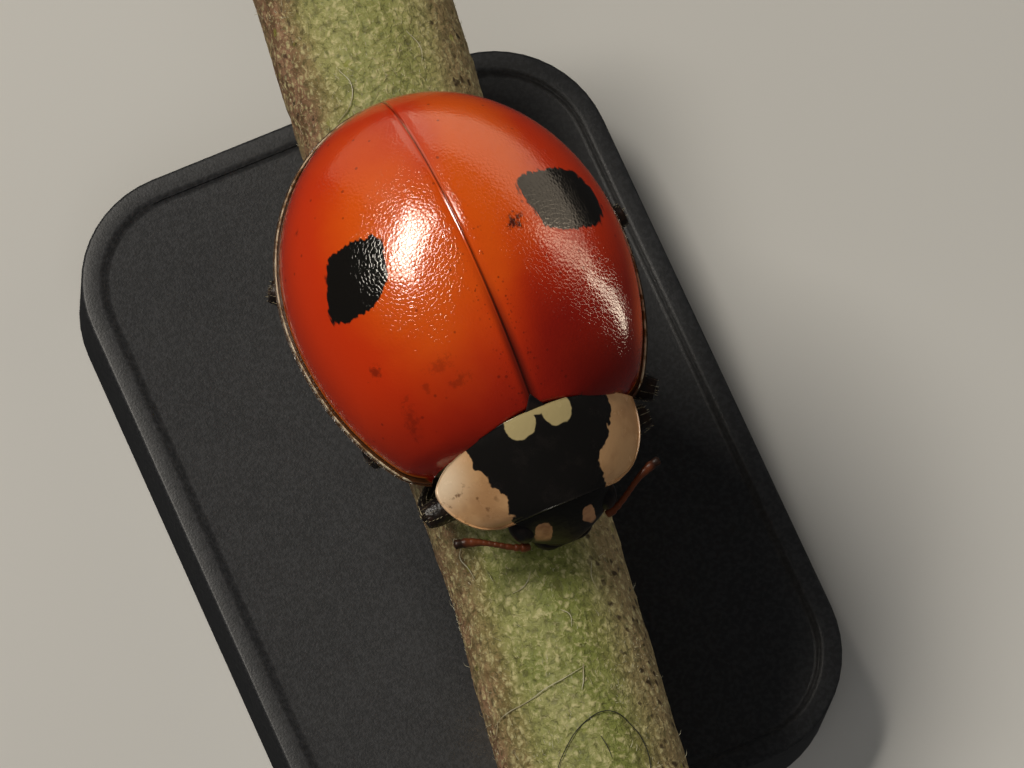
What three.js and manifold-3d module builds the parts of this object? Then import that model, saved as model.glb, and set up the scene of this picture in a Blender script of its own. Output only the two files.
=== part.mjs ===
// A two-spot ladybird (Adalia bipunctata), life size, clinging to a short length of plant stem
// that stands on a plain display stand. Millimetres, +Z up. The beetle faces -Y, its right side is
// at -X. The origin is at the middle of the stand's underside.
import * as THREE from "three";
import { mergeVertices } from "three/addons/utils/BufferGeometryUtils.js";
import Module from "manifold-3d";

const wasm = await Module();
wasm.setup();

// ---- driving dimensions ----------------------------------------------------------------------

const GAP = 0.03; // clearance between neighbours
const SHELL = 0.5; // thickness of a wing case
const HEM = 0.24; // how far the wing case's inner edge hangs below its rim
const FEMUR = 0.5; // diameters of the limbs, which stay about half a millimetre thick
const TIBIA = 0.44;
const TARSUS = 0.4;
const FEELER = 0.38;

// Wing cases. Forward distances run from the beetle's widest place.
const HALF_WIDTH = 1.8;
const TIP = 2.1; // back to the tip of the wing cases
const FRONT_RADIUS = 2.4; // the outline's own front semi-axis, which the shoulders cut short
const SHOULDER = 1.73;
const HEIGHT = 1.57; // of the dome over its rim
const FLANGE = 0.035; // share of the outline's radius that is flat rim
const SCUTELLUM = { base: 1.66, length: 0.24, halfWidth: 0.13, top: 1.12, depth: 0.42 };

const BELLY = 0.42; // the underside's depth below the rim
const WAIST = 0.25; // where the hind body meets the thorax

const PRONOTUM = {
  halfWidth: 1.16,
  frontHalfWidth: 0.7,
  back: 1.69,
  front: 2.64,
  sweep: 0.2, // how far the hind corners stand forward of the middle of the hind edge
  backHeight: 1.13,
  frontHeight: 0.68,
  sideHeight: 0.25,
  thickness: 0.34,
};

const HEAD = { forward: 2.46, up: 0.12, halfWidth: 0.58, halfLength: 0.42, halfHeight: 0.48 };
const EYE = { x: 0.48, forward: 2.56, up: 0.11, radii: [0.14, 0.17, 0.16] };
const LABRUM = { forward: 2.82, up: -0.18, radii: [0.28, 0.13, 0.13] };
const FEELER_ROUTE = [ // x, forward and up of the left one, from the head to the club
  [0.44, 2.76, -0.2],
  [0.64, 2.72, -0.16],
  [0.86, 2.52, -0.09],
  [1.12, 2.48, -0.04],
];
const PALP_ROUTE = [ // the same for the palps under the mouth
  [0.16, 2.66, -0.3],
  [0.23, 2.78, -0.38],
  [0.3, 2.88, -0.42],
];
const PALP = { stalk: 0.08, axe: 0.13 }; // radii at its root and at its axe-shaped end

// The stem, in the beetle's own frame: it crosses under the thorax at a slight angle.
const STEM = {
  radius: 0.96,
  length: 10,
  taper: 0.045, // share by which the back end is thicker, and the front end thinner
  yaw: THREE.MathUtils.degToRad(7.2),
  crossing: 0.67, // forward distance at which the stem's axis passes under the beetle's
  clearance: 0.2, // from the belly to the stem
};
const STEM_AXIS = -BELLY - STEM.clearance - STEM.radius;

const STAND = {
  length: 8.4,
  width: 6,
  thickness: 1.2,
  bevel: 0.16,
  rodRadius: 0.42,
  rodHeight: 1.7,
  rodSpacing: 5.2,
};

// Where the beetle stands along the stem: its widest place is this far back of the stem's middle.
const BEETLE_BACK = 0.75;

// ---- helpers ---------------------------------------------------------------------------------

const { lerp, clamp } = THREE.MathUtils;
const at = (x, forward, up) => new THREE.Vector3(x, -forward, up);

// A closed geometry with only positions, shared vertices merged and collapsed triangles dropped.
function closed(geometry) {
  const bare = new THREE.BufferGeometry();
  bare.setAttribute("position", geometry.getAttribute("position").clone());
  bare.setIndex(geometry.index);
  const merged = mergeVertices(bare, 1e-4);
  const kept = [];
  for (let i = 0; i < merged.index.count; i += 3) {
    const [a, b, c] = [0, 1, 2].map((k) => merged.index.getX(i + k));
    if (a !== b && b !== c && c !== a) kept.push(a, b, c);
  }
  merged.setIndex(kept);
  return merged;
}

// Six times the volume inside a closed geometry, negative where its faces point inwards.
function sixVolumes(geometry) {
  const position = geometry.getAttribute("position");
  const [a, b, c] = [new THREE.Vector3(), new THREE.Vector3(), new THREE.Vector3()];
  let sum = 0;
  for (let i = 0; i < geometry.index.count; i += 3) {
    a.fromBufferAttribute(position, geometry.index.getX(i));
    b.fromBufferAttribute(position, geometry.index.getX(i + 1));
    c.fromBufferAttribute(position, geometry.index.getX(i + 2));
    sum += a.dot(b.cross(c));
  }
  return sum;
}

// A three.js geometry with every vertex moved by a function, closed and facing out.
function moulded(base, move) {
  const geometry = base.clone();
  const position = geometry.getAttribute("position");
  const p = new THREE.Vector3();
  for (let i = 0; i < position.count; i++) {
    p.copy(move(p.fromBufferAttribute(position, i)));
    position.setXYZ(i, p.x, p.y, p.z);
  }
  const made = closed(geometry);
  if (sixVolumes(made) < 0) {
    const index = made.index.array;
    for (let i = 0; i < index.length; i += 3) {
      [index[i], index[i + 1]] = [index[i + 1], index[i]];
    }
  }
  return made;
}

// The same body, fatter by a distance all round.
function grown(geometry, by) {
  const fat = geometry.clone();
  fat.computeVertexNormals();
  const position = fat.getAttribute("position");
  const normal = fat.getAttribute("normal");
  for (let i = 0; i < position.count; i++) {
    position.setXYZ(
      i,
      position.getX(i) + normal.getX(i) * by,
      position.getY(i) + normal.getY(i) * by,
      position.getZ(i) + normal.getZ(i) * by,
    );
  }
  fat.deleteAttribute("normal");
  return fat;
}

function solidOf(geometry) {
  return new wasm.Manifold(
    new wasm.Mesh({
      numProp: 3,
      vertProperties: new Float32Array(geometry.getAttribute("position").array),
      triVerts: new Uint32Array(geometry.index.array),
    }),
  );
}

function geometryOf(solid) {
  const mesh = solid.getMesh();
  const geometry = new THREE.BufferGeometry();
  geometry.setAttribute("position", new THREE.BufferAttribute(mesh.vertProperties, 3));
  geometry.setIndex(new THREE.BufferAttribute(mesh.triVerts, 1));
  return geometry;
}

const SLIVER = 0.01; // detail finer than this is dropped after a cut

// A geometry cut back so that it clears each neighbour; only its largest piece is kept.
function clearOf(geometry, ...neighbours) {
  let solid = solidOf(geometry);
  for (const other of neighbours) {
    solid = solid.subtract(solidOf(grown(other, GAP)));
  }
  const pieces = solid.decompose().sort((a, b) => b.volume() - a.volume());
  return geometryOf(pieces[0].simplify(SLIVER));
}

// A round limb along a curve. The radius is a function of the share of its length.
function limb(points, radius, { steps = 7, sides = 8 } = {}) {
  const curve = new THREE.CatmullRomCurve3(points);
  const frames = curve.computeFrenetFrames(steps, false);
  return moulded(new THREE.CylinderGeometry(1, 1, 1, sides, steps), (p) => {
    const t = clamp(0.5 - p.y, 0, 1);
    const k = Math.round(t * steps);
    const r = radius(t);
    return curve
      .getPointAt(t)
      .addScaledVector(frames.normals[k], p.x * r)
      .addScaledVector(frames.binormals[k], p.z * r);
  });
}

// A limb's radius: rounded at both ends, with its fullest place at a share of the length.
function spindle(diameter, full, endShare) {
  return (t) => {
    const side = t < full ? (full - t) / full : (t - full) / (1 - full);
    const body = lerp(1, endShare, side ** 2);
    const tip = Math.min(t, 1 - t);
    return (diameter / 2) * body * Math.sqrt(clamp(0.25 + tip / 0.12, 0, 1));
  };
}

const group = new THREE.Group();
const beetle = new THREE.Group();
group.add(beetle);

const finish = {
  wingCase: new THREE.MeshStandardMaterial({ color: 0xb9300c, roughness: 0.22 }),
  shield: new THREE.MeshStandardMaterial({ color: 0x0a0808, roughness: 0.25 }),
  underside: new THREE.MeshStandardMaterial({ color: 0x140e0c, roughness: 0.4 }),
  eye: new THREE.MeshStandardMaterial({ color: 0x050506, roughness: 0.12 }),
  leg: new THREE.MeshStandardMaterial({ color: 0x1c130d, roughness: 0.4 }),
  feeler: new THREE.MeshStandardMaterial({ color: 0x6a2a16, roughness: 0.4 }),
  stem: new THREE.MeshStandardMaterial({ color: 0x8f9468, roughness: 0.8 }),
  base: new THREE.MeshStandardMaterial({ color: 0x26282a, roughness: 0.45 }),
  rod: new THREE.MeshStandardMaterial({ color: 0xb08d4a, roughness: 0.3, metalness: 1 }),
};

function add(parent, name, geometry, material) {
  const mesh = new THREE.Mesh(geometry, material);
  mesh.name = name;
  parent.add(mesh);
  return mesh;
}

// ---- the stem, as the beetle's legs need it ---------------------------------------------------

const stemShape = moulded(
  new THREE.CylinderGeometry(1, 1, STEM.length, 32, 10),
  (p) => {
    const turn = Math.atan2(p.x, p.z);
    const share = p.y / (STEM.length / 2); // 1 at the back end
    const ribs = 1 + 0.012 * Math.cos(5 * turn + 0.6) + 0.008 * Math.cos(3 * turn + share);
    const r = Math.hypot(p.x, p.z) * STEM.radius * (1 + STEM.taper * share) * ribs;
    return new THREE.Vector3(r * Math.sin(turn), p.y, r * Math.cos(turn));
  },
);

const stemTurn = new THREE.Matrix4().makeRotationZ(-STEM.yaw);
const beetlePlace = new THREE.Vector3(
  Math.tan(STEM.yaw) * (BEETLE_BACK - STEM.crossing),
  BEETLE_BACK,
  0,
);
const stemInBeetleFrame = moulded(stemShape, (p) =>
  p
    .applyMatrix4(stemTurn)
    .sub(beetlePlace)
    .setZ(p.z + STEM_AXIS),
);

// A point off the stem's surface, in the beetle's frame. The turn is in degrees from the stem's
// top, positive towards +X.
function offStem(turn, forward, height) {
  const angle = THREE.MathUtils.degToRad(turn);
  const r = STEM.radius + height;
  const axisX = Math.tan(STEM.yaw) * (STEM.crossing - forward);
  return at(axisX + r * Math.sin(angle), forward, STEM_AXIS + r * Math.cos(angle));
}

// ---- wing cases ------------------------------------------------------------------------------

const shoulderAngle = Math.PI / 2 + Math.asin(SHOULDER / FRONT_RADIUS);

// The outline at an angle that runs from 0 at the tip to shoulderAngle.
function outline(angle) {
  const reach = angle < Math.PI / 2 ? TIP : FRONT_RADIUS;
  return { x: HALF_WIDTH * Math.sin(angle), forward: -reach * Math.cos(angle) };
}

function domeHeight(x, forward) {
  const reach = forward < 0 ? TIP : FRONT_RADIUS;
  const r = Math.hypot(x / HALF_WIDTH, forward / reach) / (1 - FLANGE);
  return r < 1 ? HEIGHT * (1 - r ** 1.8) ** 0.44 : 0.02;
}

// side is 1 for the beetle's left wing case, at +X, and -1 for its right.
function wingCase(side) {
  const along = 18;
  const across = 12;
  const seam = GAP / 2;
  const slab = new THREE.BoxGeometry(1, 1, 1, along, across, 2);
  return moulded(slab, (p) => {
    const u = p.x + 0.5; // 0 at the shoulder, 1 at the tip
    const v = Math.round((p.y + 0.5) * across); // 0 at the seam, across at the rim
    const inward = 0.5 - p.z; // 0 outside, 1 inside
    const rim = outline(shoulderAngle * (1 - u));
    const spine = lerp(SCUTELLUM.base - 0.04, -TIP, u ** 1.15);
    const reach = v === across ? 1 : Math.sin((v / (across - 1)) * (Math.PI / 2)) * (1 - FLANGE);
    const x = Math.max(seam, lerp(seam, rim.x, reach));
    const forward = lerp(spine, rim.forward, reach);
    const shrinkX = 1 - (inward ** 2 * SHELL) / HALF_WIDTH;
    const shrinkForward = 1 - (inward ** 2 * SHELL) / TIP;
    const z = domeHeight(x, forward) * (1 - (inward * SHELL) / HEIGHT) - inward * HEM;
    return at(side * (seam + (x - seam) * shrinkX), forward * shrinkForward, z);
  });
}

const scutellumShape = new THREE.Shape([
  new THREE.Vector2(-SCUTELLUM.halfWidth, -SCUTELLUM.base),
  new THREE.Vector2(SCUTELLUM.halfWidth, -SCUTELLUM.base),
  new THREE.Vector2(0, -SCUTELLUM.base + SCUTELLUM.length),
]);
const scutellum = moulded(
  new THREE.ExtrudeGeometry(scutellumShape, {
    depth: SCUTELLUM.depth,
    steps: 2,
    bevelEnabled: false,
  }),
  (p) => p.setZ(SCUTELLUM.top - SCUTELLUM.depth + p.z + 0.5 * (SCUTELLUM.base + p.y)),
);

const wingCases = {
  left: clearOf(wingCase(1), scutellum),
  right: clearOf(wingCase(-1), scutellum),
};

// ---- pronotum, the shield behind the head -----------------------------------------------------

const pronotum = moulded(new THREE.BoxGeometry(1, 1, 1, 16, 8, 1), (p) => {
  const u = Math.sin(p.x * Math.PI); // -1 to 1 across, closer together at the sides
  const v = p.y + 0.5; // 0 at the hind edge, 1 at the front
  const corner = 0.05 * (1 - v) ** 6;
  const spread = PRONOTUM.halfWidth - PRONOTUM.frontHalfWidth;
  const half = PRONOTUM.frontHalfWidth + spread * Math.sqrt(1 - v ** 2) - corner;
  const back = PRONOTUM.back + PRONOTUM.sweep * u ** 2;
  const front = PRONOTUM.front - 0.09 * u ** 2;
  const crown = lerp(PRONOTUM.backHeight, PRONOTUM.frontHeight, v ** 1.2);
  const drop = (crown - PRONOTUM.sideHeight) * Math.abs(u) ** 2.2;
  const thickness = PRONOTUM.thickness * lerp(1, 0.45, Math.abs(u) ** 3);
  const inset = 1 - 0.06 * (0.5 - p.z);
  return at(u * half * inset, lerp(back, front, v), crown - drop - (0.5 - p.z) * thickness);
});

// ---- head ------------------------------------------------------------------------------------

function ellipsoid(x, forward, up, [rx, ry, rz], [columns, rows] = [16, 10]) {
  return moulded(new THREE.SphereGeometry(1, columns, rows), (p) =>
    at(x + p.x * rx, forward - p.z * ry, up + p.y * rz),
  );
}

const eyes = {
  left: ellipsoid(EYE.x, EYE.forward, EYE.up, EYE.radii, [12, 8]),
  right: ellipsoid(-EYE.x, EYE.forward, EYE.up, EYE.radii, [12, 8]),
};

// The capsule slopes down to a blunt mouth in front.
const headWhole = moulded(new THREE.SphereGeometry(1, 20, 12), (p) => {
  const ahead = Math.max(0, -p.z);
  const narrow = 1 - 0.3 * ahead ** 3;
  return at(
    p.x * HEAD.halfWidth * narrow,
    HEAD.forward - p.z * HEAD.halfLength,
    HEAD.up + p.y * HEAD.halfHeight * (1 - 0.35 * ahead) - 0.22 * ahead ** 2,
  );
});
const head = clearOf(headWhole, pronotum, eyes.left, eyes.right);

const labrum = clearOf(
  ellipsoid(0, LABRUM.forward, LABRUM.up, LABRUM.radii, [12, 6]),
  headWhole,
);

// The points of a route on one side of the head.
const routed = (route, side) => route.map(([x, forward, up]) => at(side * x, forward, up));

function feeler(side) {
  const club = (t) => {
    const shaft = lerp(0.82, 1, clamp((t - 0.55) / 0.3, 0, 1));
    return (FEELER / 2) * shaft * Math.sqrt(clamp(0.3 + (1 - t) / 0.14, 0, 1));
  };
  const whole = limb(routed(FEELER_ROUTE, side), club, { steps: 9 });
  return clearOf(whole, headWhole, pronotum, eyes.left, eyes.right);
}

function palp(side) {
  const radius = (t) => lerp(PALP.stalk, PALP.axe, t);
  return clearOf(limb(routed(PALP_ROUTE, side), radius, { steps: 4 }), headWhole, labrum);
}

// ---- trunk -----------------------------------------------------------------------------------

// Thorax and hind body as one form under the wing cases.
const trunk = moulded(new THREE.SphereGeometry(1, 28, 16), (p) => {
  const half = HALF_WIDTH - SHELL - 0.16;
  const reach = p.z > 0 ? TIP - SHELL - 0.2 : 1.74;
  const top = HEIGHT - SHELL - HEM - 0.1;
  return at(p.x * half, -p.z * reach, p.y > 0 ? p.y * top : p.y * BELLY);
});

function slab(forward) {
  return moulded(new THREE.BoxGeometry(4, GAP, 4), (p) => p.setY(p.y - forward));
}
const halves = solidOf(trunk)
  .subtract(solidOf(slab(WAIST)))
  .decompose()
  .sort((a, b) => a.boundingBox().min[1] - b.boundingBox().min[1])
  .map((part) => geometryOf(part.simplify(SLIVER)));
const [thorax, abdomen] = halves;

const prothorax = clearOf(
  ellipsoid(0, 2.06, 0.16, [0.84, 0.42, 0.56], [14, 8]),
  pronotum,
  headWhole,
  thorax,
  wingCases.left,
  wingCases.right,
);

// ---- legs ------------------------------------------------------------------------------------

// Each leg runs from the hip under the body out to the knee and back in to the stem. foot and toe
// are [turn about the stem, forward].
const LEGS = [
  {
    name: "front_right",
    hip: at(-0.42, 1.98, -0.4),
    knee: at(-1.16, 1.98, -0.42),
    foot: [-62, 1.74],
    toe: [-84, 1.5],
  },
  {
    name: "front_left",
    hip: at(0.4, 1.98, -0.4),
    knee: at(1.18, 2.02, -0.42),
    foot: [64, 1.9],
    toe: [88, 1.68],
  },
  {
    name: "middle_right",
    hip: at(-0.62, 0.9, -0.6),
    knee: at(-1.52, 1.22, -0.52),
    foot: [-86, 0.86],
    toe: [-106, 0.6],
  },
  {
    name: "middle_left",
    hip: at(0.62, 0.98, -0.6),
    knee: at(1.4, 1.42, -0.52),
    foot: [86, 1.1],
    toe: [106, 0.8],
  },
  {
    name: "hind_right",
    hip: at(-0.58, -0.1, -0.62),
    knee: at(-1.64, -0.64, -0.54),
    foot: [-82, -0.98],
    toe: [-98, -1.32],
  },
  {
    name: "hind_left",
    hip: at(0.74, 0, -0.62),
    knee: at(1.82, -0.08, -0.54),
    foot: [88, -0.5],
    toe: [104, -0.84],
  },
];

function leg({ name, hip, knee, foot, toe }) {
  const ankle = offStem(...foot, TIBIA / 2 + GAP);
  const toeTip = offStem(...toe, TARSUS / 2 + GAP);
  const heel = offStem((foot[0] * 2 + toe[0]) / 3, (foot[1] * 2 + toe[1]) / 3, TARSUS / 2 + GAP);
  const femur = clearOf(
    limb([hip, knee], spindle(FEMUR, 0.45, 0.8), { steps: 7 }),
    thorax,
    abdomen,
    prothorax,
    stemInBeetleFrame,
    wingCases.left,
    wingCases.right,
    pronotum,
  );
  const shin = knee.clone().lerp(ankle, 0.5).add(at(Math.sign(knee.x) * 0.05, 0, 0));
  const tibia = clearOf(
    limb([knee, shin, ankle], spindle(TIBIA, 0.6, 0.86), { steps: 6 }),
    femur,
    stemInBeetleFrame,
    wingCases.left,
    wingCases.right,
  );
  const tarsus = clearOf(
    limb([ankle, heel, toeTip], spindle(TARSUS, 0.4, 0.9), { steps: 5 }),
    tibia,
    stemInBeetleFrame,
    femur,
  );
  add(beetle, `femur_${name}`, femur, finish.leg);
  add(beetle, `tibia_${name}`, tibia, finish.leg);
  add(beetle, `tarsus_${name}`, tarsus, finish.leg);
}

// ---- the beetle, put together -----------------------------------------------------------------

add(beetle, "elytron_left", wingCases.left, finish.wingCase);
add(beetle, "elytron_right", wingCases.right, finish.wingCase);
add(beetle, "scutellum", scutellum, finish.shield);
add(beetle, "pronotum", pronotum, finish.shield);
add(beetle, "head", head, finish.shield);
add(beetle, "eye_left", eyes.left, finish.eye);
add(beetle, "eye_right", eyes.right, finish.eye);
add(beetle, "labrum", labrum, finish.underside);
add(beetle, "antenna_left", feeler(1), finish.feeler);
add(beetle, "antenna_right", feeler(-1), finish.feeler);
add(beetle, "palp_left", palp(1), finish.feeler);
add(beetle, "palp_right", palp(-1), finish.feeler);
add(beetle, "prothorax", prothorax, finish.underside);
add(beetle, "thorax", thorax, finish.underside);
add(beetle, "abdomen", abdomen, finish.underside);
LEGS.forEach(leg);

// ---- perch and stand --------------------------------------------------------------------------

const stemHeight = STAND.thickness + STAND.rodHeight + STEM.radius;
beetle.position.copy(beetlePlace).setZ(stemHeight - STEM_AXIS);

const perch = add(group, "perch_stem", stemShape, finish.stem);
perch.rotation.z = -STEM.yaw;
perch.position.z = stemHeight;

function plate() {
  const [halfX, halfY] = [STAND.width / 2 - STAND.bevel, STAND.length / 2 - STAND.bevel];
  const corner = 1.2;
  const shape = new THREE.Shape();
  shape.moveTo(-halfX + corner, -halfY);
  shape.lineTo(halfX - corner, -halfY);
  shape.absarc(halfX - corner, -halfY + corner, corner, -Math.PI / 2, 0);
  shape.absarc(halfX - corner, halfY - corner, corner, 0, Math.PI / 2);
  shape.absarc(-halfX + corner, halfY - corner, corner, Math.PI / 2, Math.PI);
  shape.absarc(-halfX + corner, -halfY + corner, corner, Math.PI, 1.5 * Math.PI);
  return new THREE.ExtrudeGeometry(shape, {
    depth: STAND.thickness - 2 * STAND.bevel,
    bevelThickness: STAND.bevel,
    bevelSize: STAND.bevel,
    bevelSegments: 2,
    curveSegments: 5,
  }).translate(0, 0, STAND.bevel);
}
add(group, "stand_base", closed(plate()), finish.base);

// Each rod stands on the base and is cut to a saddle that follows the underside of the stem.
const stemInPlace = moulded(stemShape, (p) =>
  p.applyMatrix4(stemTurn).setZ(p.z + stemHeight),
);
function rod(back) {
  const foot = STAND.thickness + GAP;
  const height = STAND.rodHeight + STEM.radius / 2 - GAP;
  const post = new THREE.CylinderGeometry(STAND.rodRadius, STAND.rodRadius, height, 24)
    .rotateX(Math.PI / 2)
    .translate(Math.sin(STEM.yaw) * back, Math.cos(STEM.yaw) * back, foot + height / 2);
  return clearOf(closed(post), stemInPlace);
}
add(group, "stand_rod_front", rod(-STAND.rodSpacing / 2), finish.rod);
add(group, "stand_rod_back", rod(STAND.rodSpacing / 2), finish.rod);

export default group;
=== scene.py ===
# %% [markdown]
# # A two-spot ladybird on a piece of stem, as a museum model
#
# The beetle is five millimetres long, so each piece is modelled in millimetres, a thousand times
# too big, where Blender's tools have room to work. A last step shrinks each piece to metres and
# sets it down in its place in the frame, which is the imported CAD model.

# %% The frame and the beetle's own place in it
import math
import random
from contextlib import contextmanager

import bmesh
import bpy
from mathutils import Matrix, Quaternion, Vector, noise


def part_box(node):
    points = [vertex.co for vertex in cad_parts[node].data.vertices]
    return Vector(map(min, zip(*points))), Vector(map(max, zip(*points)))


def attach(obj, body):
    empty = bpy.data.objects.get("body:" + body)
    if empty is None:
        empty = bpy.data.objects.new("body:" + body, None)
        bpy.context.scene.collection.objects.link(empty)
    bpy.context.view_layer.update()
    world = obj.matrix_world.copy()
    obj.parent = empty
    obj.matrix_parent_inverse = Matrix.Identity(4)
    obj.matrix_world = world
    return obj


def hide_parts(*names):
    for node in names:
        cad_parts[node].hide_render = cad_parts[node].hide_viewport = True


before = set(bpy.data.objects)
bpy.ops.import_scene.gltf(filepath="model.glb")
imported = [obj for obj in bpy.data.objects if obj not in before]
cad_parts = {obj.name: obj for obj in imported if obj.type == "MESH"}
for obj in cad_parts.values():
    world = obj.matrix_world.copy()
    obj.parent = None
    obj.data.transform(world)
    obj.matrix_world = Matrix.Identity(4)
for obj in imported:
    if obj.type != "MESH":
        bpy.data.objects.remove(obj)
MM = 0.001
TAU = 2 * math.pi
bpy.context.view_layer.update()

left_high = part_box("elytron_left")[1] / MM
right_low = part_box("elytron_right")[0] / MM
TIP = 2.1  # from the widest place back to the tip of the wing cases
DOME = 1.57  # height of the wing cases over their rim
HALF_WIDTH = (left_high.x - right_low.x) / 2
WIDEST = Vector(((left_high.x + right_low.x) / 2, left_high.y - TIP, left_high.z - DOME))
print("solids in the frame:", len(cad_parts))
print("beetle's widest place, mm:", [round(n, 3) for n in WIDEST], "half width", round(HALF_WIDTH, 3))

# %% [markdown]
# The beetle's own frame is easy to think in: x runs from its right side to its left, forward
# runs to the head, and up starts at the rim of the wing cases. The helper at() turns those three
# into Blender's x, y and z, because the beetle faces -Y.

# %% Points in the beetle's own frame


def at(x, forward, up):
    return Vector((x, -forward, up))


def mix(low, high, share):
    return low + (high - low) * share


def clamp(value, low=0.0, high=1.0):
    return max(low, min(high, value))


# %% [markdown]
# The camera comes first. It looks down on the beetle from ahead of its right shoulder. A camera
# is set by three directions of its own: back, from the beetle to the camera, right and above. The
# first comes from two angles, and the other two are then rolled about it, so that the stem runs
# from the top left to the bottom right. A long lens keeps the near side from looking too big.

# %% The camera
CAMERA_SIDE = math.radians(37.64)  # round towards the beetle's right
CAMERA_HEIGHT = math.radians(73.4)
CAMERA_ROLL = math.radians(14.04)
CAMERA_DISTANCE = 79  # mm
AIM_RIGHT = 0.5495  # mm from the beetle's widest place to the middle of the view
AIM_BELOW = 0.9765
LENS = 274.5  # mm, before a sensor 36 mm wide
back = Vector((
    -math.sin(CAMERA_SIDE) * math.cos(CAMERA_HEIGHT),
    -math.cos(CAMERA_SIDE) * math.cos(CAMERA_HEIGHT),
    math.sin(CAMERA_HEIGHT),
))
level = Vector((math.cos(CAMERA_SIDE), -math.sin(CAMERA_SIDE), 0))
upright = back.cross(level)
right = level * math.cos(CAMERA_ROLL) + upright * math.sin(CAMERA_ROLL)
above = upright * math.cos(CAMERA_ROLL) - level * math.sin(CAMERA_ROLL)

bpy.ops.object.camera_add()
camera = bpy.context.object
camera.name = "camera"
camera.data.lens = LENS
camera.data.sensor_width = 36
camera.data.clip_start = 0.001
camera.data.dof.use_dof = False
spot = (WIDEST + right * AIM_RIGHT - above * AIM_BELOW + back * CAMERA_DISTANCE) * MM
camera.matrix_world = Matrix.Translation(spot) @ Matrix((right, above, back)).transposed().to_4x4()
bpy.context.scene.camera = camera
print("camera at, mm:", [round(n / MM, 1) for n in spot])

# %% [markdown]
# Next come the few tools that every piece uses. Operators act on whatever is selected, so each
# helper clears the selection first and then picks what it needs.

# %% Choosing and naming an object


def only(piece):
    """Selects one object and nothing else."""
    bpy.ops.object.select_all(action="DESELECT")
    bpy.context.view_layer.objects.active = piece
    piece.select_set(True)


def named(name):
    """Names the object that the last operator made."""
    piece = bpy.context.object
    piece.name = piece.data.name = name
    return piece


# %% [markdown]
# In edit mode, corners, edges and faces are picked by their place. A hand would click on them, but
# a rule still picks the right ones when the mesh changes.

# %% Shaping in edit mode
CLOSE = 1e-5  # mm. Corners nearer than this are one corner


@contextmanager
def shaping(piece):
    """Edit mode on one piece, with nothing selected to begin with."""
    only(piece)
    bpy.ops.object.mode_set(mode="EDIT")
    bpy.ops.mesh.select_mode(type="VERT")
    bpy.ops.mesh.select_all(action="DESELECT")
    yield
    bpy.ops.object.mode_set(mode="OBJECT")


def choose(piece, test, kind="VERT", border=False):
    """In edit mode, selects what lies wholly where the test on a point says yes."""
    bpy.ops.mesh.select_mode(type=kind)
    bpy.ops.mesh.select_all(action="DESELECT")
    mesh = bmesh.from_edit_mesh(piece.data)
    for item in {"VERT": mesh.verts, "EDGE": mesh.edges, "FACE": mesh.faces}[kind]:
        points = [item.co] if kind == "VERT" else [v.co for v in item.verts]
        if all(test(point) for point in points) and (not border or item.is_boundary):
            item.select_set(True)
    bmesh.update_edit_mesh(piece.data)


def choose_edges(piece, test):
    """In edit mode, selects the edges where the test on their two ends says yes."""
    bpy.ops.mesh.select_mode(type="EDGE")
    bpy.ops.mesh.select_all(action="DESELECT")
    mesh = bmesh.from_edit_mesh(piece.data)
    for edge in mesh.edges:
        if test(edge.verts[0].co, edge.verts[1].co):
            edge.select_set(True)
    bmesh.update_edit_mesh(piece.data)


def extrude(move=(0, 0, 0), resize=(1, 1, 1), centre=(0, 0, 0)):
    """Grows new faces from the selection, moves them and sizes them about a centre."""
    bpy.ops.mesh.extrude_region_move(TRANSFORM_OT_translate={"value": move})
    bpy.ops.transform.resize(value=resize, center_override=centre)


def cut(at_point, normal, clear_inner=False):
    """Cuts the whole mesh along a plane, and can clear the side behind it."""
    bpy.ops.mesh.select_all(action="SELECT")
    bpy.ops.mesh.bisect(plane_co=at_point, plane_no=normal, clear_inner=clear_inner, threshold=CLOSE)


def mould(piece, move):
    """Moves each vertex by a rule, as a sculptor's hand would, where no one tool gives the form."""
    for vertex in piece.data.vertices:
        vertex.co = move(vertex.co)
    piece.data.update()


# %% [markdown]
# Modifiers round, thicken and smooth a piece, and each is applied at once, so that the mesh that is
# kept is the mesh that shows. Pieces that come in pairs are modelled once and mirrored.

# %% Modifiers, joins and copies


def refine(piece, kind, **settings):
    """Adds a modifier and applies it."""
    only(piece)
    modifier = piece.modifiers.new(kind.title(), kind)
    for name, value in settings.items():
        setattr(modifier, name, value)
    bpy.ops.object.modifier_apply(modifier=modifier.name)


def subdivide(piece, times):
    refine(piece, "SUBSURF", levels=times, render_levels=times)


def bevel(piece, width, segments, sharper_than):
    """Rounds the edges that bend by more than an angle in degrees."""
    angle = math.radians(sharper_than)
    refine(piece, "BEVEL", width=width, segments=segments, limit_method="ANGLE", angle_limit=angle)


def face_out(piece):
    """Merges doubled corners and turns every face outwards."""
    with shaping(piece):
        bpy.ops.mesh.select_all(action="SELECT")
        bpy.ops.mesh.remove_doubles(threshold=CLOSE)
        bpy.ops.mesh.normals_make_consistent(inside=False)


def joined(name, pieces):
    bpy.ops.object.select_all(action="DESELECT")
    for piece in pieces:
        piece.select_set(True)
    bpy.context.view_layer.objects.active = pieces[0]
    bpy.ops.object.join()
    return named(name)


def copied(piece, name):
    only(piece)
    bpy.ops.object.duplicate()
    return named(name)


def mirrored(piece, name):
    """The same piece for the beetle's other side, with a mesh of its own."""
    other = copied(piece, name)
    bpy.ops.transform.resize(value=(-1, 1, 1), center_override=(0, 0, 0))
    bpy.ops.object.transform_apply(location=True, rotation=True, scale=True)
    face_out(other)
    return other


# %% [markdown]
# A finished piece is settled. It is shrunk to metres and put in its place, its faces are shaded
# smooth up to an angle, and the solids of the CAD model that it stands for are hidden.

# %% Settling a finished piece
SMOOTH_UP_TO = math.radians(42)
pieces = []


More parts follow.
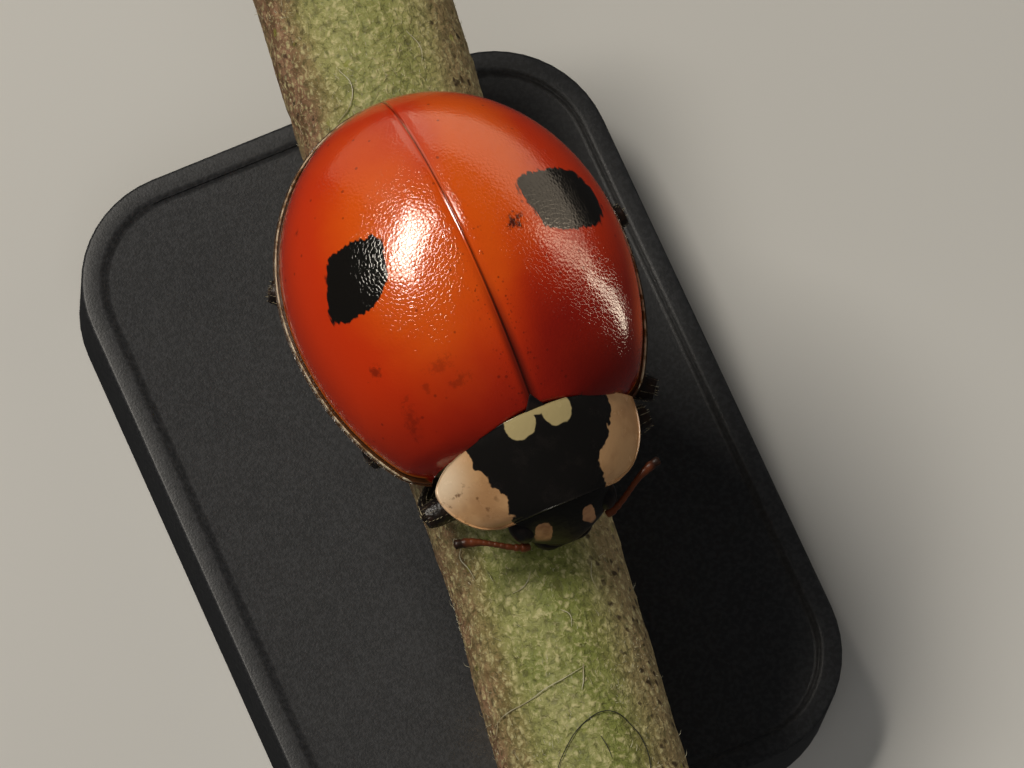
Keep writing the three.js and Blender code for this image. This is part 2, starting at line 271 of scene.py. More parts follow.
def settle(piece, nodes=(), where=WIDEST, turn=0.0):
    """Shrinks a finished piece to metres, sets it down in the frame and hides the CAD solids it stands
    for.
    """
    only(piece)
    bpy.ops.object.shade_smooth_by_angle(angle=SMOOTH_UP_TO)
    piece.scale = (MM, MM, MM)
    piece.rotation_euler = (0, 0, turn)
    piece.location = where * MM
    bpy.ops.object.transform_apply(location=True, rotation=True, scale=True)
    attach(piece, "root")
    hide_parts(*nodes)
    pieces.append(piece)
    print(f"{piece.name}: {len(piece.data.polygons)} faces")


# %% [markdown]
# ## The wing cases
#
# A ladybird's back is two hardened wing cases that meet along the middle. Each is half of a squat
# dome, with a narrow flat rim, or a quarter of a squashed sphere. A sphere with its poles at the
# beetle's two ends is the natural start: its meridians run along the seam and the rim, so both
# come out as clean lines.
# The dome's height follows the same formula as in the CAD model, so that the two agree.

# %% The dome that both wing cases share
FRONT_RADIUS = 2.4  # the outline's front semi-axis, cut short at the shoulders
SHOULDERS = 1.6  # forward place where the outline starts to draw in
DOME_SHARE = 0.977  # how much of the outline's radius is dome. The rest is flat rim
SEAM = 0.003  # half the gap along the middle


def reach(forward):
    return TIP if forward < 0 else FRONT_RADIUS


def shoulder(forward):
    """Narrows the outline at its front corners."""
    return 1 - 5 * max(0.0, forward - SHOULDERS) ** 2


def dome_height(x, forward):
    r = math.hypot(x / HALF_WIDTH / shoulder(forward), forward / reach(forward)) / DOME_SHARE
    return DOME * (1 - r ** 1.8) ** 0.44 if r < 1 else 0.0


def half_width(forward):
    """Half the dome's width at a place."""
    share = forward / reach(forward) / DOME_SHARE
    return HALF_WIDTH * DOME_SHARE * math.sqrt(max(0.0, 1 - share ** 2)) * shoulder(forward)


def front_edge(x):
    """How far forward the wing cases reach under the hind edge of the shield."""
    return 1.68 + 0.085 * math.sin(math.pi * x / 1.6) ** 2


print("dome over the middle, mm:", round(dome_height(0, 0), 2), "shoulder", round(half_width(1.72), 2))

# %% One wing case: a quarter of a stretched sphere
ROUGH_FRONT = 1.86  # where the sphere is cut off, before its front edge is curved
BEND_START = 1.1  # from here forward, the rings bend to that curve
SEAM_LOOPS = (0.012, 0.03, 0.055, 0.09)  # extra cuts beside the seam, which hold its groove
SEAM_DIP = 0.016  # how deep the two edges sink to the groove between them

bpy.ops.object.select_all(action="DESELECT")
bpy.ops.mesh.primitive_uv_sphere_add(segments=80, ring_count=50, radius=1, rotation=(math.pi / 2, 0, 0))
wing_case = named("wing_case_left")
bpy.ops.object.transform_apply(rotation=True)
with shaping(wing_case):
    bpy.ops.mesh.select_all(action="SELECT")
    bpy.ops.transform.resize(
        value=(HALF_WIDTH * DOME_SHARE, TIP * DOME_SHARE, DOME), center_override=(0, 0, 0)
    )
    choose(wing_case, lambda p: p.y < -1e-3)
    bpy.ops.transform.resize(value=(1, FRONT_RADIUS / TIP, 1), center_override=(0, 0, 0))
    cut((0, 0, 0), (0, 0, 1), clear_inner=True)
    cut((SEAM, 0, 0), (1, 0, 0), clear_inner=True)
    for support in SEAM_LOOPS:
        cut((SEAM + support, 0, 0), (1, 0, 0))
    cut((0, -ROUGH_FRONT, 0), (0, 1, 0), clear_inner=True)


def shape_dome(p):
    """Draws the front in to its curved edge, and gives the dome its true height."""
    forward = -p.y
    share = clamp((forward - BEND_START) / (ROUGH_FRONT - BEND_START))
    edge = front_edge(abs(p.x))
    moved = mix(forward, mix(BEND_START, edge, share), min(1.0, share * 3)) if share else forward
    out = forward / reach(forward) / DOME_SHARE
    plain = HALF_WIDTH * DOME_SHARE * math.sqrt(max(1e-9, 1 - out ** 2))  # the sphere's own half width
    x = max(SEAM, p.x * half_width(moved) / plain) if p.x > SEAM * 1.5 else SEAM
    dip = SEAM_DIP * clamp(1 - (x - SEAM) / SEAM_LOOPS[-1]) ** 1.3 * clamp(p.z * 3)
    return at(x, moved, dome_height(x, moved) - dip if p.z > 1e-4 else 0.0)


mould(wing_case, shape_dome)
print("wing case:", len(wing_case.data.polygons), "faces before its rim")

# %% [markdown]
# The rim is grown from the dome's lower border by extruding it a few times: out to a flat
# gutter, over the edge, and back in underneath, where the beetle's side is tucked away. The
# front border is rolled down in the same way, so that it meets the shield without a knife edge.

# %% The rim, the rolled front and the shell's thickness
RIM_STEPS = (  # how far each ring rises, and how much wider and longer than the last it is
    (-0.014, 1.004, 1.004), (0.002, 1.006, 1.006), (0.024, 1.006, 1.006), (0.002, 1.0055, 1.0055),
    (-0.014, 1.003, 1.003), (-0.03, 1, 1), (-0.03, 0.96, 0.96), (-0.05, 0.88, 0.9),
)
FRONT_STEPS = ((0, -0.012, -0.03), (0, 0.01, -0.09))  # how far each step of the rolled front moves
SHELL = 0.05  # the shell's thickness


def on_front_edge(p):
    return p.y < -SHOULDERS and p.z > 0.03 and -p.y > front_edge(p.x) - 0.004


with shaping(wing_case):
    choose(wing_case, lambda p: p.z < 0.002, "EDGE", border=True)
    for rise, wider, longer in RIM_STEPS:
        extrude((0, 0, rise), (wider, longer, 1))
    choose(wing_case, on_front_edge, "EDGE", border=True)
    for move in FRONT_STEPS:
        extrude(move)
refine(wing_case, "SOLIDIFY", thickness=SHELL, offset=-1, use_even_offset=False)
bevel(wing_case, 0.008, 2, 50)
subdivide(wing_case, 2)
wing_case_right = mirrored(wing_case, "wing_case_right")
settle(wing_case, ["elytron_left"])
settle(wing_case_right, ["elytron_right"])

# %% [markdown]
# ## The scutellum
#
# Where the wing cases meet the shield there is a tiny dark triangle, a plate of the thorax that
# shows between them. It is a three-sided cylinder laid at the dome's slope and bevelled.

# %% The scutellum
PLATE_FORWARD = 1.685  # where its middle lies
bpy.ops.object.select_all(action="DESELECT")
bpy.ops.mesh.primitive_cylinder_add(vertices=3, radius=1, depth=0.12)
plate = named("scutellum_plate")
with shaping(plate):
    bpy.ops.mesh.select_all(action="SELECT")
    bpy.ops.transform.resize(value=(0.14, 0.11, 1), center_override=(0, 0, 0))
bevel(plate, 0.02, 3, 40)


def on_dome(p):
    forward = PLATE_FORWARD - p.y
    return at(p.x, forward, dome_height(0, forward) - 0.035 + p.z)


mould(plate, on_dome)
subdivide(plate, 1)
settle(plate, ["scutellum"])

# %% [markdown]
# ## The shield (pronotum)
#
# Behind the head lies the pronotum, a shield wider than it is long. It arches over like a
# saddle, drops at the sides and has a fine raised bead round its edge. A flat grid is bent into
# that form by rule, because its outline has two different curves. Its border is then
# extruded into the bead and the turned-under edge.

# %% The shield's form
SHIELD_BACK = 1.735  # forward places of the hind edge and the front edge, on the middle line
SHIELD_FRONT = 2.62
SHIELD_HALF = 1.105  # half the width behind, and in front
SHIELD_FRONT_HALF = 0.66
SHIELD_BACK_HEIGHT = 1.12
SHIELD_FRONT_HEIGHT = 0.68
SHIELD_SIDE_HEIGHT = 0.22
SHIELD_ASIDE = -0.015  # it sits a hair to the beetle's right


def shield_form(p):
    """Bends the grid. u is -1 at its right side and 1 at its left, v runs from the back to the front."""
    u = math.sin(clamp(p.x, -0.5, 0.5) * math.pi)
    v = p.y + 0.5
    spread = SHIELD_HALF - SHIELD_FRONT_HALF
    tuck = (0.025 - 0.025 * u) * (1 - v) ** 12  # rounds the hind corners, more on the right
    half = SHIELD_FRONT_HALF + spread * max(0.0, 1 - v ** 2) ** 0.62 - tuck
    corner = (0.06 - 0.03 * u) * abs(u) ** 12
    hind = SHIELD_BACK + (0.045 - 0.015 * u) * u ** 2 + corner
    front = SHIELD_FRONT - 0.09 * u ** 2 - 0.02 * abs(u) ** 8
    crown = mix(SHIELD_BACK_HEIGHT, SHIELD_FRONT_HEIGHT, v ** 1.2)
    sag = (crown - SHIELD_SIDE_HEIGHT) * abs(u) ** 2.2
    return at(u * half + SHIELD_ASIDE, mix(hind, front, v), crown - sag)


bpy.ops.object.select_all(action="DESELECT")
bpy.ops.mesh.primitive_grid_add(x_subdivisions=36, y_subdivisions=20, size=1)
shield = named("shield")
mould(shield, shield_form)

# %% The shield's bead and turned-under edge
SHIELD_MIDDLE = at(0, 2.1, 0.4)
BEAD_STEPS = (  # how far each ring rises, and how much wider and longer than the last it is
    (0, 1.012, 1.012), (0.008, 1.008, 1.008), (-0.03, 1.004, 1.004), (-0.03, 0.985, 0.985),
    (-0.05, 0.9, 0.93), (-0.02, 0.85, 0.9),
)
with shaping(shield):
    choose(shield, lambda p: True, "EDGE", border=True)
    for rise, wider, longer in BEAD_STEPS:
        extrude((0, 0, rise), (wider, longer, 1), SHIELD_MIDDLE)
face_out(shield)
refine(shield, "SOLIDIFY", thickness=0.03, offset=-1)
subdivide(shield, 2)
settle(shield, ["pronotum"])

# %% [markdown]
# ## The head
#
# The head is a blunt capsule that slopes down in front, half hidden under the shield. It starts
# as a sphere, whose front is then flattened, narrowed and drooped into the clypeus, the small
# plate over the mouth.

# %% The head's capsule
HEAD_FORWARD = 2.46  # its middle, ahead of the beetle's widest place
HEAD_UP = 0.12
HEAD_HALF_WIDTH = 0.575
HEAD_HALF_LENGTH = 0.385
HEAD_HALF_HEIGHT = 0.47


def head_form(p):
    """p is on a unit sphere, with -y ahead."""
    ahead = max(0.0, -p.y)
    narrow = 1 - 0.24 * ahead ** 4
    brow = 0.02 * math.exp(-((p.x / 0.5) ** 2)) * max(0.0, p.z) ** 2  # a shallow dip on the crown
    lip = 0.015 * clamp((ahead - 0.9) / 0.1) * clamp(1 - abs(p.x) * 2.2)
    droop = 0.22 * ahead ** 2
    tall = HEAD_HALF_HEIGHT * (1 - 0.35 * ahead)
    return at(
        p.x * HEAD_HALF_WIDTH * narrow,
        HEAD_FORWARD - p.y * HEAD_HALF_LENGTH + lip,
        HEAD_UP + p.z * tall - droop - brow,
    )


bpy.ops.object.select_all(action="DESELECT")
bpy.ops.mesh.primitive_uv_sphere_add(segments=64, ring_count=40, radius=1, rotation=(math.pi / 2, 0, 0))
head = named("head_capsule")
bpy.ops.object.transform_apply(rotation=True)
mould(head, head_form)
subdivide(head, 1)
settle(head, ["head"])

# %% [markdown]
# An insect's compound eye is a low dome of hundreds of lenses. The dome is a sphere made of
# triangles of nearly one size, an icosphere. Every edge of it is bevelled, which leaves a facet in
# each triangle and a fine line between two, so that the lenses are real and not painted.

# %% The eyes
EYE_OUT, EYE_FORWARD, EYE_UP = 0.445, 2.555, 0.1  # the left eye's middle
EYE_SIZE = (0.135, 0.185, 0.18)


def side_name(side):
    return "left" if side > 0 else "right"


def eye(side):
    middle = at(side * EYE_OUT, EYE_FORWARD, EYE_UP)
    bpy.ops.object.select_all(action="DESELECT")
    bpy.ops.mesh.primitive_ico_sphere_add(subdivisions=4, radius=1)
    made = named("eye_dome_" + side_name(side))
    refine(made, "BEVEL", width=0.018, segments=1, limit_method="NONE")
    mould(made, lambda p: middle + Vector((p.x * EYE_SIZE[0], p.y * EYE_SIZE[1], p.z * EYE_SIZE[2])))
    return made


settle(eye(1), ["eye_left"])
settle(eye(-1), ["eye_right"])

# %% [markdown]
# The mouth shows only from the front and below. Under the clypeus hangs the labrum, or upper
# lip, with the dark tips of two jaws behind it and a pair of feelers, the palps, whose last
# joint is shaped like a hatchet. Round limbs like these are drawn as curves with a thickness at
# each point, which is quicker than extruding ring after ring, and then made meshes.

# %% A round limb along a curve


def limb(name, points, radii, smoothness=5, fineness=3):
    """A round limb through some points, with its own radius at each."""
    bpy.ops.object.select_all(action="DESELECT")
    bpy.ops.curve.primitive_bezier_curve_add()
    curve = bpy.context.object
    spline = curve.data.splines[0]
    spline.bezier_points.add(len(points) - 2)
    spline.radius_interpolation = "BSPLINE"
    for knot, point, radius in zip(spline.bezier_points, points, radii):
        knot.handle_left_type = knot.handle_right_type = "AUTO"
        knot.co = point
        knot.radius = radius
    curve.data.resolution_u = smoothness
    curve.data.bevel_depth = 1
    curve.data.bevel_resolution = fineness
    curve.data.use_fill_caps = True
    bpy.ops.object.convert(target="MESH")
    made = named(name)
    face_out(made)
    return made


def bead(name, middle, radii, way=Vector((0, 0, 1)), segments=14, rings=8):
    """A small rounded body, turned so that its length lies along a way."""
    bpy.ops.object.select_all(action="DESELECT")
    bpy.ops.mesh.primitive_uv_sphere_add(segments=segments, ring_count=rings, radius=1)
    made = named(name)
    turn = way.to_track_quat("Z", "Y").to_matrix()
    mould(made, lambda p: middle + turn @ Vector((p.x * radii[0], p.y * radii[1], p.z * radii[2])))
    return made


# %% The mouthparts


def lip_form(p):
    """p is on a unit sphere, with -y ahead."""
    narrow = 1 - 0.2 * max(0, -p.y)
    return at(p.x * 0.25 * narrow, 2.73 - p.y * 0.1, -0.24 + p.z * 0.1)


def jaw(side):
    route = [at(side * 0.26, 2.6, -0.3), at(side * 0.22, 2.72, -0.36), at(side * 0.03, 2.78, -0.37)]
    return limb("jaw", route, [0.09, 0.07, 0.02])


bpy.ops.object.select_all(action="DESELECT")
bpy.ops.mesh.primitive_uv_sphere_add(segments=32, ring_count=16, radius=1)
labrum = named("upper_lip")
mould(labrum, lip_form)
jaws = [jaw(1), jaw(-1)]
chin = bead("chin", at(0, 2.62, -0.3), (0.24, 0.2, 0.1))
settle(joined("mouthparts", [labrum, chin, *jaws]), ["labrum"])


def palp(side):
    stalk = [
        bead("palp", at(side * 0.2, 2.54, -0.38), (0.045, 0.045, 0.07), at(0.3 * side, 0.3, -1)),
        bead("palp", at(side * 0.22, 2.57, -0.48), (0.038, 0.038, 0.08), at(0.1 * side, 0.2, -1)),
        bead("palp", at(side * 0.22, 2.59, -0.57), (0.042, 0.042, 0.06), at(-0.1 * side, 0.2, -1)),
    ]
    hatchet = bead("palp", at(side * 0.2, 2.61, -0.63), (0.08, 0.04, 0.055), at(-0.3 * side, 0.2, -1))
    return joined("palp_joints_" + side_name(side), [hatchet, *stalk])


settle(palp(1), ["palp_left"])
settle(palp(-1), ["palp_right"])

# %% [markdown]
# ## The antennae
#
# Each antenna has eleven joints: a stout one at the base, a slim shaft, and three wide ones that
# make a dark club at the end. It is one curve whose thickness swells a little towards the far end
# of each joint and pinches in where two joints meet, so the loop gives three knots to each.

# %% The antennae
ANTENNA_WIDTHS = [  # one for each joint, from the head out
    0.1, 0.082, 0.07, 0.066, 0.064, 0.064, 0.068, 0.076, 0.094, 0.106, 0.104,
]
ANTENNA_LENGTHS = [1.5, 1.1, 1.5, 1, 1, 0.9, 0.9, 0.8, 1, 1, 1.1]  # as shares of each other
JOINT_PROFILE = ((0.04, 0.8), (0.4, 0.94), (0.86, 1.0))  # share of a joint's length, and of its width


def bezier(points, share):
    """A place on the smooth path that a few points draw, by mixing neighbours till one is left."""
    row = list(points)
    while len(row) > 1:
        row = [a.lerp(b, share) for a, b in zip(row, row[1:])]
    return row[0]


def antenna(side):
    route = [at(side * 0.43, 2.74, -0.1), at(side * 0.68, 2.72, 0.02), at(side * 0.8, 2.5, 0.02),
             at(side * 1.135, 2.45, 0.0)]
    whole = sum(ANTENNA_LENGTHS)
    gone = 0.0
    knots = [(route[0], 0.03)]
    for width, length in zip(ANTENNA_WIDTHS, ANTENNA_LENGTHS):
        for share, fat in JOINT_PROFILE:
            knots.append((bezier(route, (gone + share * length) / whole), width / 2 * fat))
        gone += length
    knots.append((route[-1], 0.02))
    points, radii = zip(*knots)
    return limb("feeler_" + side_name(side), points, radii, 3, 4)


settle(antenna(1), ["antenna_left"])
settle(antenna(-1), ["antenna_right"])

# %% [markdown]
# ## The underside
#
# Under the shells the thorax and the hind body are one dark, gently bulging form. On the real
# beetle it is made of rings of plate, and the rings show as shallow steps. A sphere with its
# poles at the two ends has its circles where those steps are, so pressing in a few circles
# makes the joints.

# %% The body under the shells
BODY_HALF = 1.36  # half its width
BODY_REAR = 1.62
BODY_FRONT = 2.3
BODY_UP = -0.05
BODY_TOP = 0.55
BELLY = 0.42  # how far the underside hangs
JOINTS = [-1.3, -1.0, -0.7, -0.38, 0.02, 1.02, 1.86]  # forward places where two plates meet


def body_form(p):
    """p is on a unit sphere, with -y ahead."""
    forward = -p.y * (BODY_FRONT if p.y < 0 else BODY_REAR)
    front = clamp((forward - 1.0) / 1.3)
    half = BODY_HALF * (1 - 0.32 * front ** 1.5)
    groove = sum(math.exp(-(((forward - joint) / 0.035) ** 2)) for joint in JOINTS)
    keel = 0.05 * math.exp(-((p.x / 0.2) ** 2)) if 0 < forward < 1.8 else 0.0
    if p.z > 0:
        up = p.z * BODY_TOP
    else:
        up = p.z * BELLY * (1 - 0.075 * groove) + p.z * keel
    return at(p.x * half * (1 - 0.012 * groove), forward, up + BODY_UP)


bpy.ops.object.select_all(action="DESELECT")
bpy.ops.mesh.primitive_uv_sphere_add(segments=56, ring_count=150, radius=1, rotation=(math.pi / 2, 0, 0))
body = named("body_plates")
bpy.ops.object.transform_apply(rotation=True)
mould(body, body_form)

# %% [markdown]
# ## The legs
#
# A beetle's leg has a broad hip set in the body, a stout thigh, a slim shin and a foot of small
# joints with two claws. The knees just clear the rim of the wing cases, and the shins fold
# back in to the stem, which the feet hold. Each leg is worked out from four points: hip, knee,
# ankle and toe. The last two are given as a turn about the stem and a distance along it, so that
# the feet stay on its surface.

# %% Where the stem is, and a point off its surface
STEM_RADIUS = 0.96  # halfway along
STEM_TAPER = 0.045  # the share of it that is gained by the back end, and lost by the front end
STEM_TURN = math.radians(7.2)  # how far it is turned from the beetle's own line, seen from above
STEM_HALF = 5.0  # half its length
stem_low, stem_high = (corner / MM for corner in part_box("perch_stem"))
STEM_UP = (stem_low.z + stem_high.z) / 2
STEM_DROP = STEM_UP - WIDEST.z  # the stem's axis in the beetle's frame
print("stem axis at height", round(STEM_UP, 2), "and", round(STEM_DROP, 2), "from the rim")


def off_stem(turn, forward, height):
    """turn is in degrees from the stem's top, positive towards the beetle's left."""
    angle = math.radians(turn)
    r = STEM_RADIUS * (1 - STEM_TAPER * (forward - WIDEST.y) / STEM_HALF) + height
    axis = math.tan(STEM_TURN) * (WIDEST.y - forward) - WIDEST.x
    return at(axis + r * math.sin(angle), forward, STEM_DROP + r * math.cos(angle))


# %% [markdown]
# A foot is three short joints, each a little limb from one spot on the stem to the next. The two
# claws spread from its tip and hook down into the stem.

# %% Foot and claws
THIGH = 0.15  # radii
SHIN = 0.075
FOOT = 0.055
FOOT_SHARES = (0.06, 0.36, 0.6, 0.98)  # where its joints meet, from foot to toe
FOOT_WIDTHS = (1.15, 1.3, 0.8)


def foot_spots(foot, toe):
    """The ends of a foot's joints, on the stem. It comes nearer to the stem towards the toe."""
    spots = []
    for share in FOOT_SHARES:
        turn = mix(foot[0], toe[0], share)
        forward = mix(foot[1], toe[1], share)
        spots.append(off_stem(turn, forward, FOOT * (1.2 - 0.4 * share) + 0.005))
    return spots


def foot_joints(spots):
    joints = []
    for near, far, width in zip(spots, spots[1:], FOOT_WIDTHS):
        fat = width * FOOT
        joints.append(limb("joint", [near, near.lerp(far, 0.7), far], [fat * 0.6, fat, fat * 0.75], 4))
    return joints


def claw(tip, way, outward, spread):
    hook = tip + way * 0.03 + spread * 0.035
    route = [tip + spread * 0.012, hook + outward * 0.01, hook + way * 0.05 - outward * 0.05]
    return limb("claw", route, [0.022, 0.016, 0.003], 4, 1)


# %% [markdown]
# The same function makes all six legs. Besides settling the leg's pieces, it keeps a note of each
# limb that is to grow bristles: its skin, which way it runs, how many and how long.

# %% One leg
BRISTLES = {"shin": (260, 0.058), "foot": (160, 0.045), "thigh": (420, 0.035)}  # count, length
hips = []
bristle_skins = []


def leg(name, hip, knee, foot, toe):
    ankle = off_stem(*foot, SHIN + 0.01)
    hips.append(bead("hip", hip, (0.2, 0.17, 0.15), knee - hip, 20, 12))
    thigh_route = [hip.lerp(knee, 0.12), hip.lerp(knee, 0.5) + at(0, 0, 0.03), hip.lerp(knee, 0.86), knee]
    thigh = limb("thigh_" + name, thigh_route, [0.1, THIGH, THIGH, 0.115])
    bend = knee.lerp(ankle, 0.5) + at(math.copysign(0.05, knee.x), 0, -0.02)
    shin_route = [knee - (knee - hip) * 0.02, knee.lerp(ankle, 0.12), bend, ankle]
    shin = limb("shin_" + name, shin_route, [0.05, 0.07, SHIN + 0.01, SHIN + 0.02])
    spots = foot_spots(foot, toe)
    joints = foot_joints(spots)
    tip = spots[-1]
    way = (tip - spots[-2]).normalized()
    outward = (tip - off_stem(*toe, -STEM_RADIUS)).normalized()
    spread = way.cross(outward).normalized()
    claws = joined("claws_" + name, [claw(tip, way, outward, spread), claw(tip, way, outward, -spread)])
    foot_piece = joined("foot_" + name, joints)
    bristle_skins.append((shin, (ankle - knee).normalized(), *BRISTLES["shin"]))
    bristle_skins.append((foot_piece, way, *BRISTLES["foot"]))
    bristle_skins.append((thigh, (knee - hip).normalized(), *BRISTLES["thigh"]))
    settle(thigh, ["femur_" + name])
    settle(shin, ["tibia_" + name])
    settle(foot_piece, ["tarsus_" + name])
    settle(claws)


# %% Six legs
LEGS = {  # hip and knee in the beetle's frame, foot and toe as turn about the stem and forward
    "front_right": (at(-0.4, 1.96, -0.34), at(-1.23, 2.01, -0.33), (-49, 1.6), (-71, 1.22)),
    "front_left": (at(0.4, 1.96, -0.34), at(1.28, 1.9, -0.34), (64, 1.7), (92, 1.36)),
    "middle_right": (at(-0.6, 0.95, -0.42), at(-1.5, 1.23, -0.34), (-86, 0.9), (-108, 0.56)),
    "middle_left": (at(0.6, 1.0, -0.42), at(1.47, 1.69, -0.34), (82, 1.3), (106, 1.0)),
    "hind_right": (at(-0.6, -0.08, -0.42), at(-1.72, -0.78, -0.3), (-86, -0.98), (-108, -1.38)),
    "hind_left": (at(0.62, -0.02, -0.42), at(1.93, -0.13, -0.3), (84, -0.5), (104, -0.94)),
}
for name, places in LEGS.items():
    leg(name, *places)

body = joined("body_plates", [body, *hips])
settle(body, ["prothorax", "thorax", "abdomen"])

# %% [markdown]
# Thighs, shins and feet carry short bristles, dark and golden, which catch the light where a knee
# shows past the rim. A bristle is a bent cone with three sides, and hundreds of them make one
# mesh. They grow from random faces of the limb and lean towards the foot. Each one has its patch
# in the map OFBake: how far along its limb it grows sets the place across, and each limb has its
# own strip of the map's height.

# %% Hairs: many small cones in one mesh
HAIR_PATCH = 0.003  # the width of one hair's patch, as a share of the map


def tufts(name, hairs):
    """Each hair is its root, its way at the root, its way at the tip, length, radius and patch."""
    points = []
    faces = []
    patches = []
    for root, way, end_way, length, radius, patch in hairs:
        side = way.orthogonal().normalized()
        other = way.cross(side)
        first = len(points)
        middle = root + way * length * 0.5
        for centre, width in ((root, 1.0), (middle, 0.75)):
            for corner in range(3):
                angle = TAU * corner / 3
                out = side * math.cos(angle) + other * math.sin(angle)
                points.append(centre + out * radius * width)
        points.append(middle + end_way * length * 0.5)
        faces.append((first + 2, first + 1, first))
        for corner in range(3):
            after = (corner + 1) % 3
            faces.append((first + corner, first + after, first + 3 + after, first + 3 + corner))
            faces.append((first + 3 + corner, first + 3 + after, first + 6))
        patches += [patch] * 7  # one for each face
    mesh = bpy.data.meshes.new(name)
    mesh.from_pydata([tuple(p) for p in points], [], faces)
    layer = mesh.uv_layers.new(name="OFBake")
    for face, patch in zip(mesh.polygons, patches):
        for place, corner in enumerate(face.loop_indices):
            angle = TAU * place / len(face.loop_indices)
            across = HAIR_PATCH / 2 * math.cos(angle)
            up = HAIR_PATCH / 2 * math.sin(angle)
            layer.data[corner].uv = (patch[0] + across, patch[1] + up)
    made = bpy.data.objects.new(name, mesh)
    bpy.context.scene.collection.objects.link(made)
    print(f"{name}: {len(hairs)} hairs")
    return made


# %% The legs' bristles
BRISTLE_RADIUS = 0.0025
SLIVER = 1e-12  # square metres. A face smaller than this grows no bristle


def bristles(skins):
    """Each skin is settled, so its faces are in metres and in the frame."""
    dice = random.Random(7)
    hairs = []
    for strip, (skin, way, count, length) in enumerate(skins):
        faces = list(skin.data.polygons)
        along = [face.center.dot(way) for face in faces]
        low, high = min(along), max(along)
        for number in range(count):
            face = dice.choice(faces)
            if face.area < SLIVER:
                continue
            root = face.center / MM - WIDEST
            share = (face.center.dot(way) - low) / (high - low)
            lean = (face.normal * 0.55 + way * 1.0).normalized()
            flat = (face.normal * 0.15 + way).normalized()
            long = length * dice.uniform(0.7, 1.25)
            patch = (0.02 + 0.96 * share, (strip + 0.15 + 0.7 * number / count) / len(skins))
            hairs.append((root, lean, flat, long, BRISTLE_RADIUS, patch))
    return tufts("leg_bristles", hairs)


settle(bristles(bristle_skins))

# %% [markdown]
# ## The stem
#
# The beetle's perch is a short cut length of a green stem. It has a few soft ribs, a skin of
# small swollen cells and plain cut ends that show the paler pith. It is a cylinder with many
# loops, roughened by a noise rule, and its ends are inset to make the ring of bark round the
# pith.

# %% The stem's cylinder and its cut ends
STEM_PLACE = Vector((0, 0, STEM_UP))
ROUND = 180  # sides of the cylinder
LOOPS = 330  # rings along it
END_RINGS = ((0.03, 0), (0.13, 0), (0.04, -0.03), (0.3, 0), (0.3, 0))  # each inset's width and depth
bpy.ops.object.select_all(action="DESELECT")
bpy.ops.mesh.primitive_cylinder_add(
    vertices=ROUND, radius=1, depth=2 * STEM_HALF, end_fill_type="NGON", rotation=(math.pi / 2, 0, 0)
)
stem = named("stem_length")
bpy.ops.object.transform_apply(rotation=True)
with shaping(stem):
    for end in (-1, 1):
        choose(stem, lambda p: p.y * end > STEM_HALF - 0.01, "FACE")
        for width, depth in END_RINGS:
            bpy.ops.mesh.inset(thickness=width, depth=depth)
with shaping(stem):
    choose_edges(stem, lambda a, b: abs(a.y - b.y) > STEM_HALF)
    bpy.ops.mesh.subdivide(number_cuts=LOOPS)
print("stem:", len(stem.data.polygons), "faces before its skin")

# %% The stem's ribs, its cells and the ends
BARK = 0.9  # on the plain cylinder, what lies further in than this belongs to a cut end
CHAMFER = 0.97


def stem_radius(turn, along):
    """The tapered stem with its soft ribs. turn is in radians from its top, along runs to the back."""
    share = along / STEM_HALF
    ribs = 1 + 0.012 * math.cos(5 * turn + 0.6) + 0.008 * math.cos(3 * turn + share)
    return STEM_RADIUS * (1 + STEM_TAPER * share) * ribs


def hollow(turn, along):
    """The stem is drawn in a little on its right side, by the beetle's head."""
    return 0.07 * max(0.0, -math.sin(turn)) * math.exp(-(((along + 1.9) / 1.2) ** 2))


def swelling(turn, along):
    """How far its cells and lumps stand out of the ribbed form."""
    place = Vector((math.sin(turn), along, math.cos(turn)))
    cells = Vector((place.x * 7, place.y * 5, place.z * 7))
    scurf = noise.noise(cells) * 0.5 + noise.noise(cells * 2.1) * 0.6
    return 0.02 * scurf + 0.012 * noise.noise(place * 1.6)


def stem_skin(p):
    """Takes a point of the plain cylinder to its place on the stem."""
    turn = math.atan2(p.x, p.z)
    wide = stem_radius(turn, p.y)
    along = p.y
    if math.hypot(p.x, p.z) > BARK:
        wide += swelling(turn, p.y) - hollow(turn, p.y)
    else:
        along += 0.01 * noise.noise(p * 9)
    if abs(p.y) > 0.999 * STEM_HALF:
        wide *= CHAMFER
    return Vector((p.x * wide, along, p.z * wide))


mould(stem, stem_skin)
face_out(stem)
settle(stem, ["perch_stem"], STEM_PLACE, -STEM_TURN)

# %% [markdown]
# The stem has a thin fuzz: short pale hairs that mostly lie flat, with some that curl away, and a
# few long loose fibres. The fibres are curves that hug the skin.

# %% The stem's fuzz


def on_stem(turn, along, height):
    """A point over the skin, in the stem's own frame."""
    r = stem_radius(turn, along) + height - hollow(turn, along)
    return Vector((r * math.sin(turn), along, r * math.cos(turn)))


